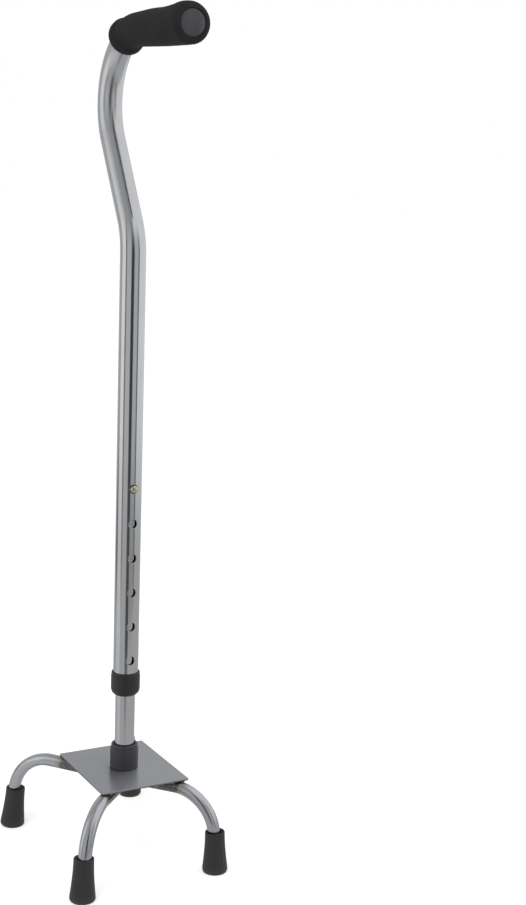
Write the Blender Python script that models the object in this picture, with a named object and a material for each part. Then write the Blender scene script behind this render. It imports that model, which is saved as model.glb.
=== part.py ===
"""Quad cane: a walking stick of adjustable height on a plate with four feet.

Metres, +Z up, +X the way the handle points, +Y to the user's left. The cane is shown at
its shortest. Every piece is worked out round the pole's axis, and one empty carries them
all, so that the origin lies on the floor under the middle of the whole cane.
"""
import math

import bmesh
import bpy
from mathutils import Matrix, Vector

MM = 0.001
GAP = 0.3 * MM
POLE_FACES = 28
TIP_FACES = 18
SMALL_FACES = 20
LEG_FACES = 16
HOLE_FACES = 16
NECK_STEP = math.radians(8)
LEG_STEP = math.radians(11)
SHARP_ANGLE = math.radians(32)

# Where the pole stands, measured from the middle of the whole cane
POLE_X = 8.41 * MM
POLE_Y = 9.41 * MM

# Swan-neck tube
UPPER_RADIUS = 12.7 * MM
UPPER_WALL = 1.2 * MM
NECK_RADIUS = 12.2 * MM
UPPER_END_Z = 173.8 * MM
NECK_Z = 612.5 * MM
LOWER_BEND_RADIUS = 65.6 * MM
NECK_LEAN = math.radians(30.8)
NECK_RUN = 91.4 * MM
UPPER_BEND_RADIUS = 65.5 * MM
HANDLE_DIP = math.radians(2.4)
HANDLE_RUN = 122.4 * MM

# Row of adjusting holes
HOLE_DIAMETER = 9.0 * MM
HOLE_PITCH = 35.3 * MM
HOLE_COUNT = 6
BUTTON_Z = 383.2 * MM

# Foam grip, by distance from its rear end and by radius
GRIP_ON_BEND = 40.4 * MM
GRIP_FLANGE_RADIUS = 17.2 * MM
GRIP_FLANGE_LENGTH = 16.2 * MM
GRIP_FLANGE_STEP = 4.0 * MM
GRIP_REAR_ROUNDING = 11.3 * MM
GRIP_WAIST_RADIUS = 15.3 * MM
GRIP_FRONT_RADIUS = 18.4 * MM
GRIP_SWELL_POWER = 0.72
GRIP_STEPS = 7
GRIP_SWELL_END = 9.0 * MM
GRIP_FRONT_ROUNDING = 7.1 * MM

# End plug: its disc stands before the tube's mouth, its spigot inside the tube
PLUG_RADIUS = 12.0 * MM
PLUG_DISC = 2.1 * MM
PLUG_DOME = 0.5 * MM
PLUG_EDGE = 0.6 * MM
PLUG_SPIGOT = 14.0 * MM
PLUG_CHAMFER = 1.2 * MM

# Lower tube, its guide and its snap button
LOWER_RADIUS = 10.0 * MM
LOWER_WALL = 1.2 * MM
LOWER_TOP_Z = 424.0 * MM
GUIDE_SKIRT = 15.0 * MM
GUIDE_CAP = 2.0 * MM
GUIDE_CHAMFER = 1.0 * MM
GUIDE_LIP = 1.3 * MM
BUTTON_RADIUS = 4.2 * MM
BUTTON_TOP = 15.7 * MM
BUTTON_DOME = 2.6 * MM
BUTTON_FLANGE_RADIUS = 5.2 * MM
BUTTON_FLANGE_FRONT = 6.7 * MM
BUTTON_FLANGE = 1.2 * MM
SPRING_WIDTH = 8.0 * MM
SPRING_THICKNESS = 0.8 * MM
SPRING_ABOVE = 8.0 * MM
SPRING_FRONT = 15.0 * MM
SPRING_EASE = 12.0 * MM
SPRING_NECK = 28.0 * MM
SPRING_TURN = 2.6 * MM
SPRING_BACK = 44.0 * MM
SPRING_DRAW_IN = math.radians(6)
SPRING_SPREAD = math.radians(4.8)

# Plastic sleeves. Their rounded ends are given by how far each point is from the end
# along the sleeve, and how far inside its radius.
SLEEVE_LENGTH_INSIDE = 4.0 * MM
COLLAR_RADIUS = 14.75 * MM
COLLAR_BOTTOM_Z = 168.9 * MM
COLLAR_TOP_Z = 192.7 * MM
COLLAR_BOTTOM_END = ((0.0, 3.9 * MM), (0.9 * MM, 2.4 * MM), (3.2 * MM, 0.7 * MM), (6.0 * MM, 0.0))
COLLAR_TOP_END = ((3.5 * MM, 0.0), (3.1 * MM, 0.5 * MM), (0.8 * MM, 0.5 * MM), (0.0, 1.3 * MM))
BUSH_RADIUS = 14.4 * MM
BUSH_TOP_Z = 116.0 * MM
BUSH_TOP_END = ((4.6 * MM, 0.0), (4.1 * MM, 0.8 * MM), (0.9 * MM, 0.9 * MM), (0.0, 2.0 * MM))
STUB_TOP_Z = 111.2 * MM

# Base plate and what bolts the pole to it
PLATE_TOP_Z = 90.5 * MM
PLATE_THICKNESS = 2.0 * MM
PLATE_LENGTH = 116.1 * MM
PLATE_WIDTH = 94.2 * MM
PLATE_MIDDLE_X = -1.2 * MM
PLATE_MIDDLE_Y = -0.5 * MM
PLATE_TURN = math.radians(0.75)
PLATE_CORNER = 1.5 * MM
PLATE_EDGE = 0.3 * MM
FOOT_PLUG_LENGTH = 22.0 * MM
FOOT_PLUG_CHAMFER = 0.8 * MM
THREAD_GAP = 0.4 * MM
THREAD_BEYOND_BOLT = 2.0 * MM
DRILL_POINT = 1.5 * MM
BOLT_HOLE_RADIUS = 4.25 * MM
BOLT_RADIUS = 3.9 * MM
BOLT_POINT = 0.8 * MM
BOLT_HEAD_HALF_WIDTH = 6.5 * MM
BOLT_HEAD_CHAMFER = 0.5 * MM
BOLT_HEAD = 5.3 * MM
BOLT_TOP_Z = 105.5 * MM
WASHER_RADIUS = 8.0 * MM
WASHER_THICKNESS = 1.6 * MM
BOLT_FACES = 24

# Legs: direction in degrees, how far the leg passes beside the pole's axis, and how far
# out its bend begins
LEG_RADIUS = 6.5 * MM
LEG_WALL = 1.5 * MM
LEG_INNER_END = 16.0 * MM
LEG_BEND_RADIUS = 46.1 * MM
LEG_LEAN = math.radians(2.5)
LEGS = {
    "front_left": (39.7, -4.2 * MM, 58.9 * MM),
    "front_right": (-43.9, 6.0 * MM, 70.6 * MM),
    "rear_left": (151.7, 6.0 * MM, 96.8 * MM),
    "rear_right": (-143.2, 4.6 * MM, 85.9 * MM),
}

# Rubber tips: where each one stands, seen from the pole, and how many degrees it leans
# towards +X and towards +Y. They sit loosely, so each has an axis of its own.
TIPS = {
    "front_left": (84.9 * MM, 65.1 * MM, -0.7, -1.2),
    "front_right": (88.3 * MM, -78.5 * MM, -1.6, 2.0),
    "rear_left": (-130.1 * MM, 63.2 * MM, 2.4, -1.2),
    "rear_right": (-105.4 * MM, -84.0 * MM, 4.0, 3.8),
}
TIP_HEIGHT = 42.5 * MM
TIP_RADIUS = 12.85 * MM
TIP_WIDEST = 3.3 * MM
TIP_NECK_RADIUS = 9.85 * MM
TIP_NECK = 34.5 * MM
TIP_FLARE_POWER = 1.34
TIP_FLARE_STEPS = 4
TIP_FOOT_STEPS = 3
TIP_LIP = 1.2 * MM
TIP_MOUTH_RADIUS = 8.6 * MM
TIP_MOUTH_DEPTH = 3.4 * MM
TIP_SOLE_RADIUS = 10.7 * MM
TIP_SOLE_SINK = 1.3 * MM
TIP_GROOVE_INNER = 5.8 * MM
TIP_GROOVE_OUTER = 8.6 * MM
TIP_GROOVE_SLOPE = 0.4 * MM
TIP_GROOVE_DEPTH = 1.3 * MM
TIP_POCKET = 7.5 * MM
TIP_WASHER_RADIUS = 6.4 * MM
TIP_WASHER_HOLE_RADIUS = 2.2 * MM
TIP_WASHER_THICKNESS = 1.5 * MM
FLOOR_BLOCK_SIZE = 0.5
FLOOR_BLOCK_DEPTH = 10.0 * MM

# Colour, metallic value and roughness of each finish
CHROME = ((0.62, 0.63, 0.65), 1.0, 0.12)
ZINC = ((0.55, 0.56, 0.57), 1.0, 0.35)
BRASS = ((0.60, 0.47, 0.24), 1.0, 0.30)
SPRING_STEEL = ((0.30, 0.31, 0.33), 1.0, 0.35)
FOAM = ((0.022, 0.022, 0.023), 0.0, 0.85)
RUBBER = ((0.035, 0.035, 0.036), 0.0, 0.60)
BLACK_PLASTIC = ((0.026, 0.027, 0.029), 0.0, 0.35)
GREY_PLASTIC = ((0.07, 0.07, 0.08), 0.0, 0.40)
WHITE_PLASTIC = ((0.75, 0.75, 0.73), 0.0, 0.45)


class Centreline:
    """Straight runs and round bends in one upright plane through or beside the pole's axis.

    Points are (reach, height). A heading is measured from straight up and grows towards
    the side that the plane faces, and azimuth turns that side round from +X.
    """

    def __init__(self, reach, height, heading, azimuth=0.0, aside=0.0, bend_step=NECK_STEP):
        self.moves = []
        self.bend_step = bend_step
        self.tip = (reach, height, heading)
        self.length = 0.0
        self.outward = Vector((math.cos(azimuth), math.sin(azimuth), 0.0))
        self.across = Vector((-math.sin(azimuth), math.cos(azimuth), 0.0))
        self.beside = self.across * aside

    def _add(self, length, turn):
        self.moves.append((self.length, length, turn, self.tip))
        self.tip = self._along(self.moves[-1], length)
        self.length += length
        return self

    def run(self, length):
        return self._add(length, 0.0)

    def bend(self, radius, angle):
        return self._add(radius * abs(angle), angle)

    @staticmethod
    def _along(move, travelled):
        _, length, turn, (reach, height, heading) = move
        if turn == 0.0:
            return (reach + travelled * math.sin(heading),
                    height + travelled * math.cos(heading), heading)
        radius = length / turn
        new_heading = heading + travelled / radius
        return (reach + radius * (math.cos(heading) - math.cos(new_heading)),
                height + radius * (math.sin(new_heading) - math.sin(heading)), new_heading)

    def at(self, distance):
        """Point and direction at a distance; the last run goes on past its end."""
        move = self.moves[0]
        for candidate in self.moves:
            if distance >= candidate[0]:
                move = candidate
        if distance > self.length:
            reach, height, heading = self.tip
            extra = distance - self.length
            reach += extra * math.sin(heading)
            height += extra * math.cos(heading)
        else:
            reach, height, heading = self._along(move, distance - move[0])
        point = self.outward * reach + self.beside + Vector((0.0, 0.0, height))
        direction = self.outward * math.sin(heading) + Vector((0.0, 0.0, math.cos(heading)))
        return point, direction

    def stations(self, first, last):
        """Distances from first to last where a tube needs a ring."""
        found = [first]
        for start, length, turn, _ in self.moves:
            steps = max(1, math.ceil(abs(turn) / self.bend_step))
            found += [start + length * step / steps for step in range(steps + 1)]
        found.append(last)
        inside = sorted(d for d in found if first <= d <= last)
        return [d for i, d in enumerate(inside) if i == 0 or d - inside[i - 1] > 0.1 * MM]


def turned_mesh(centreline, outline, faces=POLE_FACES):
    """Carry an outline of (distance, radius) points round a centreline.

    The outline closes on itself, or begins and ends on the axis. A radius may also be a
    function of the angle, as a hexagon's is.
    """
    bm = bmesh.new()
    rings = []
    for distance, radius in outline:
        point, direction = centreline.at(distance)
        up = direction.cross(centreline.across)
        if radius == 0.0:
            rings.append([bm.verts.new(point)])
            continue
        ring = []
        for face in range(faces):
            angle = math.tau * face / faces
            r = radius(angle) if callable(radius) else radius
            offset = centreline.across * math.cos(angle) + up * math.sin(angle)
            ring.append(bm.verts.new(point + offset * r))
        rings.append(ring)
    pairs = list(zip(rings, rings[1:]))
    if len(rings[0]) > 1:
        pairs.append((rings[-1], rings[0]))
    for ring, after in pairs:
        for i in range(faces):
            j = (i + 1) % faces
            if len(ring) == 1:
                bm.faces.new((ring[0], after[j], after[i]))
            elif len(after) == 1:
                bm.faces.new((ring[i], ring[j], after[0]))
            else:
                bm.faces.new((ring[i], ring[j], after[j], after[i]))
    return bm


def add_object(name, bm, finish, origin=(0.0, 0.0, 0.0)):
    """Make an object of a mesh that is given round the pole, with its own material."""
    bmesh.ops.recalc_face_normals(bm, faces=bm.faces)
    mesh = bpy.data.meshes.new(name)
    bm.to_mesh(mesh)
    bm.free()
    mesh.transform(Matrix.Translation(-Vector(origin)))
    mesh.shade_smooth()
    mesh.set_sharp_from_angle(angle=SHARP_ANGLE)
    obj = bpy.data.objects.new(name, mesh)
    obj.location = origin
    obj.parent = FRAME
    bpy.context.collection.objects.link(obj)
    if finish:
        mesh.materials.append(make_material(name, *finish))
    return obj


def make_material(name, colour, metallic, roughness):
    material = bpy.data.materials.new(name)
    material.use_nodes = True
    shader = material.node_tree.nodes["Principled BSDF"]
    shader.inputs["Base Color"].default_value = (*colour, 1.0)
    shader.inputs["Metallic"].default_value = metallic
    shader.inputs["Roughness"].default_value = roughness
    return material


def cut(obj, cutter):
    """Take the cutter away from the object, and keep it out of the model."""
    cutter.hide_render = True
    cutter.display_type = "WIRE"
    boolean = obj.modifiers.new("cut_" + cutter.name, "BOOLEAN")
    boolean.operation = "DIFFERENCE"
    boolean.solver = "EXACT"
    boolean.object = cutter


def upright():
    """The pole's own axis, on which a distance is a height above the floor."""
    return Centreline(0.0, 0.0, 0.0).run(1.0)


def neck_line():
    """The swan neck: straight up, back by its lean, over the top, and forward."""
    line = Centreline(0.0, UPPER_END_Z, 0.0)
    line.run(NECK_Z - UPPER_END_Z)
    line.bend(LOWER_BEND_RADIUS, -NECK_LEAN)
    line.run(NECK_RUN)
    line.bend(UPPER_BEND_RADIUS, NECK_LEAN + math.pi / 2 + HANDLE_DIP)
    line.run(HANDLE_RUN - PLUG_DISC - GAP)
    return line


def leg_line(degrees, aside, bend_start):
    """A leg: straight out under the plate, down round its bend, and out by its lean."""
    height = PLATE_TOP_Z - PLATE_THICKNESS - GAP - LEG_RADIUS
    line = Centreline(LEG_INNER_END, height, math.pi / 2, math.radians(degrees), aside, LEG_STEP)
    line.run(bend_start - LEG_INNER_END)
    line.bend(LEG_BEND_RADIUS, math.pi / 2 - LEG_LEAN)
    _, bend_end_height, _ = line.tip
    line.run(bend_end_height / math.cos(LEG_LEAN))
    return line


def tube_outline(line, first, last, radius_at, wall):
    stations = line.stations(first, last)
    outside = [(distance, radius_at(distance)) for distance in stations]
    inside = [(distance, radius_at(distance) - wall) for distance in reversed(stations)]
    return outside + inside


def rod_cutter(name, direction_heading, height, radius, first, last):
    """A round cutter that starts on the pole's axis at a height and runs one way."""
    line = Centreline(0.0, height, direction_heading).run(last)
    outline = [(first, 0.0), (first, radius), (last, radius), (last, 0.0)]
    return add_object(name, turned_mesh(line, outline, HOLE_FACES), None)


def smooth_step(value):
    value = min(1.0, max(0.0, value))
    return value * value * (3.0 - 2.0 * value)


def upper_tube_radius(distance):
    """The tube is drawn a little thinner from its lower bend onwards."""
    drawn = smooth_step((distance - (NECK_Z - UPPER_END_Z)) / (LOWER_BEND_RADIUS * NECK_LEAN))
    return UPPER_RADIUS + (NECK_RADIUS - UPPER_RADIUS) * drawn


def build_upper_tube():
    line = neck_line()
    outline = tube_outline(line, 0.0, line.length, upper_tube_radius, UPPER_WALL)
    tube = add_object("upper_tube", turned_mesh(line, outline), CHROME, (0.0, 0.0, UPPER_END_Z))
    for number in range(HOLE_COUNT):
        height = BUTTON_Z - number * HOLE_PITCH
        cutter = rod_cutter(f"adjusting_hole_{number + 1}", math.pi / 2, height,
                            HOLE_DIAMETER / 2, LOWER_RADIUS, UPPER_RADIUS * 1.3)
        cut(tube, cutter)


def grip_radius(distance, length):
    """Radius of the foam: rear flange, a step down to the waist, and growth to its front."""
    flange = smooth_step((distance - GRIP_FLANGE_LENGTH) / GRIP_FLANGE_STEP)
    run = length - GRIP_SWELL_END - GRIP_FLANGE_LENGTH
    share = min(max((distance - GRIP_FLANGE_LENGTH) / run, 0.0), 1.0)
    swell = math.sin(math.pi / 2 * share) ** (1.0 / GRIP_SWELL_POWER)
    waist = GRIP_WAIST_RADIUS + (GRIP_FRONT_RADIUS - GRIP_WAIST_RADIUS) * swell
    return GRIP_FLANGE_RADIUS + (waist - GRIP_FLANGE_RADIUS) * flange


def rounded_edge(edge, inward, radius, rounding, bore, steps):
    """Points from the bore round a convex edge, away from an end face."""
    centre_radius = radius - rounding
    first = math.asin((bore - centre_radius) / rounding)
    points = []
    for step in range(steps + 1):
        angle = first + (math.pi / 2 - first) * step / steps
        distance = edge + inward * rounding * (1.0 - math.cos(angle))
        points.append((distance, centre_radius + rounding * math.sin(angle)))
    return points


def grip_outline(line):
    rear = line.length + PLUG_DISC + GAP - HANDLE_RUN - GRIP_ON_BEND
    length = GRIP_ON_BEND + HANDLE_RUN
    bore = NECK_RADIUS + GAP
    rear_edge = rounded_edge(rear, 1, GRIP_FLANGE_RADIUS, GRIP_REAR_ROUNDING, bore, 4)
    front_edge = rounded_edge(rear + length, -1, GRIP_FRONT_RADIUS, GRIP_FRONT_ROUNDING, bore, 4)
    step_end = GRIP_FLANGE_LENGTH + GRIP_FLANGE_STEP
    middle = [GRIP_FLANGE_LENGTH, GRIP_FLANGE_LENGTH + GRIP_FLANGE_STEP / 2, step_end]
    middle += [d - rear for d in line.stations(rear + step_end + 2 * MM, rear + GRIP_ON_BEND)]
    straight = length - GRIP_FRONT_ROUNDING - 2 * MM - GRIP_ON_BEND
    middle += [GRIP_ON_BEND + straight * step / GRIP_STEPS for step in range(1, GRIP_STEPS + 1)]
    outside = [(rear + d, grip_radius(d, length)) for d in middle]
    bore_stations = line.stations(rear_edge[0][0] + MM, rear + GRIP_ON_BEND + MM)
    inside = [(distance, bore) for distance in reversed(bore_stations)]
    return rear_edge + outside + front_edge[::-1] + inside


def build_foam_grip():
    line = neck_line()
    bm = turned_mesh(line, grip_outline(line))
    add_object("foam_grip", bm, FOAM, (0.0, 0.0, UPPER_END_Z))


def build_grip_end_plug():
    """A domed disc over the tube's mouth, on a spigot inside it."""
    line = neck_line()
    face = line.length + GAP
    spigot = NECK_RADIUS - UPPER_WALL - GAP
    outline = [
        (face - PLUG_SPIGOT, 0.0),
        (face - PLUG_SPIGOT, spigot - PLUG_CHAMFER),
        (face - PLUG_SPIGOT + PLUG_CHAMFER, spigot),
        (face, spigot),
        (face, PLUG_RADIUS),
        (face + PLUG_DISC - PLUG_EDGE, PLUG_RADIUS),
        (face + PLUG_DISC, PLUG_RADIUS - PLUG_EDGE),
        (face + PLUG_DISC + PLUG_DOME * 0.8, PLUG_RADIUS * 0.5),
        (face + PLUG_DISC + PLUG_DOME, 0.0),
    ]
    bm = turned_mesh(line, outline)
    add_object("grip_end_plug", bm, GREY_PLASTIC, (0.0, 0.0, UPPER_END_Z))


def build_upper_collar():
    """A skirt outside the upper tube and a sleeve inside it, joined under its end."""
    web = UPPER_END_Z - GAP
    sleeve_out = UPPER_RADIUS - UPPER_WALL - GAP
    sleeve_top = COLLAR_TOP_Z - SLEEVE_LENGTH_INSIDE
    outline = [(COLLAR_BOTTOM_Z, LOWER_RADIUS + GAP)]
    outline += [(COLLAR_BOTTOM_Z + up, COLLAR_RADIUS - inside) for up, inside in COLLAR_BOTTOM_END]
    outline += [(COLLAR_TOP_Z - down, COLLAR_RADIUS - inside) for down, inside in COLLAR_TOP_END]
    outline += [
        (COLLAR_TOP_Z, UPPER_RADIUS + GAP),
        (web, UPPER_RADIUS + GAP),
        (web, sleeve_out),
        (sleeve_top, sleeve_out),
        (sleeve_top, LOWER_RADIUS + GAP),
    ]
    bm = turned_mesh(upright(), outline)
    add_object("upper_collar", bm, BLACK_PLASTIC, (0.0, 0.0, UPPER_END_Z))


def build_lower_tube():
    foot = PLATE_TOP_Z + GAP
    bore = LOWER_RADIUS - LOWER_WALL
    outline = [(foot, bore), (foot, LOWER_RADIUS), (LOWER_TOP_Z, LOWER_RADIUS), (LOWER_TOP_Z, bore)]
    tube = add_object("lower_tube", turned_mesh(upright(), outline), CHROME)
    cutter = rod_cutter("button_hole", math.pi / 2, BUTTON_Z, HOLE_DIAMETER / 2,
                        LOWER_RADIUS * 0.5, LOWER_RADIUS * 1.4)
    cut(tube, cutter)


def build_lower_tube_guide():
    """A ring cap on the lower tube's top end, which runs in the upper tube's bore."""
    skirt = LOWER_TOP_Z - GUIDE_SKIRT
    top = LOWER_TOP_Z + GAP + GUIDE_CAP
    bore = LOWER_RADIUS + GAP
    outside = UPPER_RADIUS - UPPER_WALL - GAP
    mouth = LOWER_RADIUS - LOWER_WALL - GUIDE_LIP
    outline = [
        (skirt, bore),
        (skirt, outside - GAP),
        (skirt + GUIDE_CHAMFER, outside),
        (top - GUIDE_CHAMFER, outside),
        (top, outside - GUIDE_CHAMFER / 2),
        (top, mouth),
        (LOWER_TOP_Z + GAP, mouth),
        (LOWER_TOP_Z + GAP, bore),
    ]
    add_object("lower_tube_guide", turned_mesh(upright(), outline, SMALL_FACES), WHITE_PLASTIC)


def build_snap_button():
    """A domed pin with a flange that stops it against the inside of the lower tube."""
    line = Centreline(0.0, BUTTON_Z, math.pi / 2).run(BUTTON_TOP)
    back = BUTTON_FLANGE_FRONT - BUTTON_FLANGE
    outline = [(back, 0.0), (back, BUTTON_FLANGE_RADIUS), (BUTTON_FLANGE_FRONT, BUTTON_FLANGE_RADIUS)]
    outline.append((BUTTON_FLANGE_FRONT, BUTTON_RADIUS))
    steps = 5
    for step in range(steps + 1):
        angle = math.pi / 2 * step / steps
        distance = BUTTON_TOP - BUTTON_DOME * (1.0 - math.sin(angle))
        radius = BUTTON_RADIUS * math.cos(angle) if step < steps else 0.0
        outline.append((distance, radius))
    bm = turned_mesh(line, outline, SMALL_FACES)
    add_object("snap_button", bm, BRASS, (0.0, 0.0, BUTTON_Z))


def spring_line():
    """A leaf behind the button, a tight turn below it, and a leaf up the far wall."""
    front = BUTTON_FLANGE_FRONT - BUTTON_FLANGE - GAP - SPRING_THICKNESS / 2
    line = Centreline(front, BUTTON_Z + SPRING_ABOVE, math.pi)
    line.run(SPRING_FRONT)
    line.bend(SPRING_EASE, SPRING_DRAW_IN)
    line.run(SPRING_NECK)
    line.bend(SPRING_TURN, math.pi - SPRING_DRAW_IN - SPRING_SPREAD)
    line.run(SPRING_BACK)
    return line


def build_button_spring():
    line = spring_line()
    stations = line.stations(0.0, line.length)
    bm = bmesh.new()
    sides = {1: [], -1: []}
    for distance in stations:
        point, direction = line.at(distance)
        normal = direction.cross(line.across)
        for side, row in sides.items():
            row.append(bm.verts.new(point + normal * side * SPRING_THICKNESS / 2
                                    - line.across * SPRING_WIDTH / 2))
    front, back = sides[1], sides[-1]
    strip = [bm.faces.new((front[i], front[i + 1], back[i + 1], back[i]))
             for i in range(len(stations) - 1)]
    grown = bmesh.ops.extrude_face_region(bm, geom=strip)
    moved = [item for item in grown["geom"] if isinstance(item, bmesh.types.BMVert)]
    bmesh.ops.translate(bm, verts=moved, vec=line.across * SPRING_WIDTH)
    add_object("button_spring", bm, SPRING_STEEL)


def build_socket_stub():
    outline = [(PLATE_TOP_Z + GAP, UPPER_RADIUS - UPPER_WALL), (PLATE_TOP_Z + GAP, UPPER_RADIUS),
               (STUB_TOP_Z, UPPER_RADIUS), (STUB_TOP_Z, UPPER_RADIUS - UPPER_WALL)]
    add_object("socket_stub", turned_mesh(upright(), outline), ZINC)


def build_socket_bush():
    """A skirt outside the stub and a sleeve inside it, joined over its top."""
    foot = PLATE_TOP_Z + GAP
    web = STUB_TOP_Z + GAP
    sleeve_out = UPPER_RADIUS - UPPER_WALL - GAP
    sleeve_bottom = foot + SLEEVE_LENGTH_INSIDE
    outline = [(foot, UPPER_RADIUS + GAP), (foot, BUSH_RADIUS)]
    outline += [(BUSH_TOP_Z - down, BUSH_RADIUS - inside) for down, inside in BUSH_TOP_END]
    outline += [
        (BUSH_TOP_Z, LOWER_RADIUS + GAP),
        (sleeve_bottom, LOWER_RADIUS + GAP),
        (sleeve_bottom, sleeve_out),
        (web, sleeve_out),
        (web, UPPER_RADIUS + GAP),
    ]
    add_object("socket_bush", turned_mesh(upright(), outline), BLACK_PLASTIC)


def build_tube_foot_plug():
    """A plug in the lower tube's foot, with the blind thread that takes the bolt."""
    foot = PLATE_TOP_Z + GAP
    top = foot + FOOT_PLUG_LENGTH
    radius = LOWER_RADIUS - LOWER_WALL - GAP
    thread = BOLT_RADIUS + THREAD_GAP
    thread_top = BOLT_TOP_Z + THREAD_BEYOND_BOLT
    outline = [
        (top, 0.0),
        (top, radius - FOOT_PLUG_CHAMFER),
        (top - FOOT_PLUG_CHAMFER, radius),
        (foot, radius),
        (foot, thread),
        (thread_top, thread),
        (thread_top + DRILL_POINT, 0.0),
    ]
    add_object("tube_foot_plug", turned_mesh(upright(), outline, SMALL_FACES), ZINC)


def hexagon_radius(angle):
    from_flat = (angle + math.pi / 6) % (math.pi / 3) - math.pi / 6
    return BOLT_HEAD_HALF_WIDTH / math.cos(from_flat)


def build_base_bolt():
    washer_bottom = PLATE_TOP_Z - PLATE_THICKNESS - GAP - WASHER_THICKNESS
    head_top = washer_bottom - GAP
    head_bottom = head_top - BOLT_HEAD
    outline = [
        (head_bottom, 0.0),
        (head_bottom, BOLT_HEAD_HALF_WIDTH - BOLT_HEAD_CHAMFER),
        (head_bottom + BOLT_HEAD_CHAMFER, hexagon_radius),
        (head_top, hexagon_radius),
        (head_top, BOLT_RADIUS),
        (BOLT_TOP_Z - BOLT_POINT, BOLT_RADIUS),
        (BOLT_TOP_Z, BOLT_RADIUS - BOLT_POINT),
        (BOLT_TOP_Z, 0.0),
    ]
    add_object("base_bolt", turned_mesh(upright(), outline, BOLT_FACES), ZINC)
    hole = BOLT_RADIUS + GAP
    washer = [(washer_bottom, hole), (washer_bottom, WASHER_RADIUS),
              (washer_bottom + WASHER_THICKNESS, WASHER_RADIUS),
              (washer_bottom + WASHER_THICKNESS, hole)]
    add_object("base_bolt_washer", turned_mesh(upright(), washer, BOLT_FACES), ZINC)


def build_base_plate():
    bm = bmesh.new()
    middle = Vector((PLATE_MIDDLE_X, PLATE_MIDDLE_Y, PLATE_TOP_Z - PLATE_THICKNESS / 2))
    turn = Matrix.Rotation(PLATE_TURN, 4, "Z")
    size = Matrix.Diagonal((PLATE_LENGTH, PLATE_WIDTH, PLATE_THICKNESS, 1.0))
    bmesh.ops.create_cube(bm, size=1.0, matrix=Matrix.Translation(middle) @ turn @ size)
    upright_edges = [e for e in bm.edges if abs(e.verts[0].co.z - e.verts[1].co.z) > MM]
    bmesh.ops.bevel(bm, geom=upright_edges, offset=PLATE_CORNER, segments=3, profile=0.5,
                    affect="EDGES")
    rims = [e for e in bm.edges if abs(e.verts[0].co.z - e.verts[1].co.z) < 0.1 * MM]
    bmesh.ops.bevel(bm, geom=rims, offset=PLATE_EDGE, segments=1, affect="EDGES")
    plate = add_object("base_plate", bm, CHROME)
    cutter = rod_cutter("bolt_hole", 0.0, 0.0, BOLT_HOLE_RADIUS,
                        PLATE_TOP_Z - 3 * PLATE_THICKNESS, PLATE_TOP_Z + PLATE_THICKNESS)
    cut(plate, cutter)


def tip_outline():
    """A flared rubber tip by height and radius, solid up to the dish of its mouth."""
    outline = [
        (-TIP_SOLE_SINK, 0.0),
        (-TIP_SOLE_SINK, TIP_GROOVE_INNER),
        (TIP_GROOVE_DEPTH, TIP_GROOVE_INNER + TIP_GROOVE_SLOPE),
        (TIP_GROOVE_DEPTH, TIP_GROOVE_OUTER - TIP_GROOVE_SLOPE),
        (-TIP_SOLE_SINK, TIP_GROOVE_OUTER),
        (-TIP_SOLE_SINK, TIP_SOLE_RADIUS),
    ]
    for step in range(TIP_FOOT_STEPS + 1):
        angle = math.pi / 2 * step / TIP_FOOT_STEPS
        rounding = (TIP_RADIUS - TIP_SOLE_RADIUS) * math.sin(angle)
        outline.append((TIP_WIDEST * (1.0 - math.cos(angle)), TIP_SOLE_RADIUS + rounding))
    for step in range(1, TIP_FLARE_STEPS + 1):
        share = step / TIP_FLARE_STEPS
        narrowing = 1.0 - (1.0 - share) ** TIP_FLARE_POWER
        height = TIP_WIDEST + (TIP_NECK - TIP_WIDEST) * share
        outline.append((height, TIP_RADIUS + (TIP_NECK_RADIUS - TIP_RADIUS) * narrowing))
    outline += [
        (TIP_HEIGHT - TIP_LIP, TIP_NECK_RADIUS),
        (TIP_HEIGHT, TIP_MOUTH_RADIUS),
        (TIP_HEIGHT - TIP_MOUTH_DEPTH, LEG_RADIUS),
        (TIP_HEIGHT - TIP_MOUTH_DEPTH, 0.0),
    ]
    return outline


def build_tip(place, line, floor_cutter):
    """The tip stands on its own axis, and its pocket follows the leg inside it."""
    x, y, lean_x, lean_y = TIPS[place]
    axis = Vector((math.tan(math.radians(lean_x)), math.tan(math.radians(lean_y)), 1.0))
    stand = Matrix.Translation((x, y, 0.0)) @ axis.to_track_quat("Z", "Y").to_matrix().to_4x4()
    bm = turned_mesh(upright(), tip_outline(), TIP_FACES)
    bm.transform(stand)
    tip = add_object("tip_" + place, bm, RUBBER)
    cut(tip, floor_cutter)
    top, bottom = line.length - TIP_HEIGHT, line.length - TIP_POCKET
    pocket = LEG_RADIUS + GAP
    outline = [(top, 0.0)] + [(d, pocket) for d in line.stations(top, bottom)] + [(bottom, 0.0)]
    cut(tip, add_object("pocket_" + place, turned_mesh(line, outline, LEG_FACES), None))


def build_leg(place, floor_cutter):
    line = leg_line(*LEGS[place])
    leg_end = line.length - TIP_POCKET - GAP - TIP_WASHER_THICKNESS - GAP
    outline = tube_outline(line, 0.0, leg_end, lambda _: LEG_RADIUS, LEG_WALL)
    add_object("leg_" + place, turned_mesh(line, outline, LEG_FACES), CHROME)
    build_tip(place, line, floor_cutter)
    top, bottom = leg_end + GAP, leg_end + GAP + TIP_WASHER_THICKNESS
    washer = [(top, TIP_WASHER_HOLE_RADIUS), (top, TIP_WASHER_RADIUS),
              (bottom, TIP_WASHER_RADIUS), (bottom, TIP_WASHER_HOLE_RADIUS)]
    add_object("tip_washer_" + place, turned_mesh(line, washer, LEG_FACES), ZINC)


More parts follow.
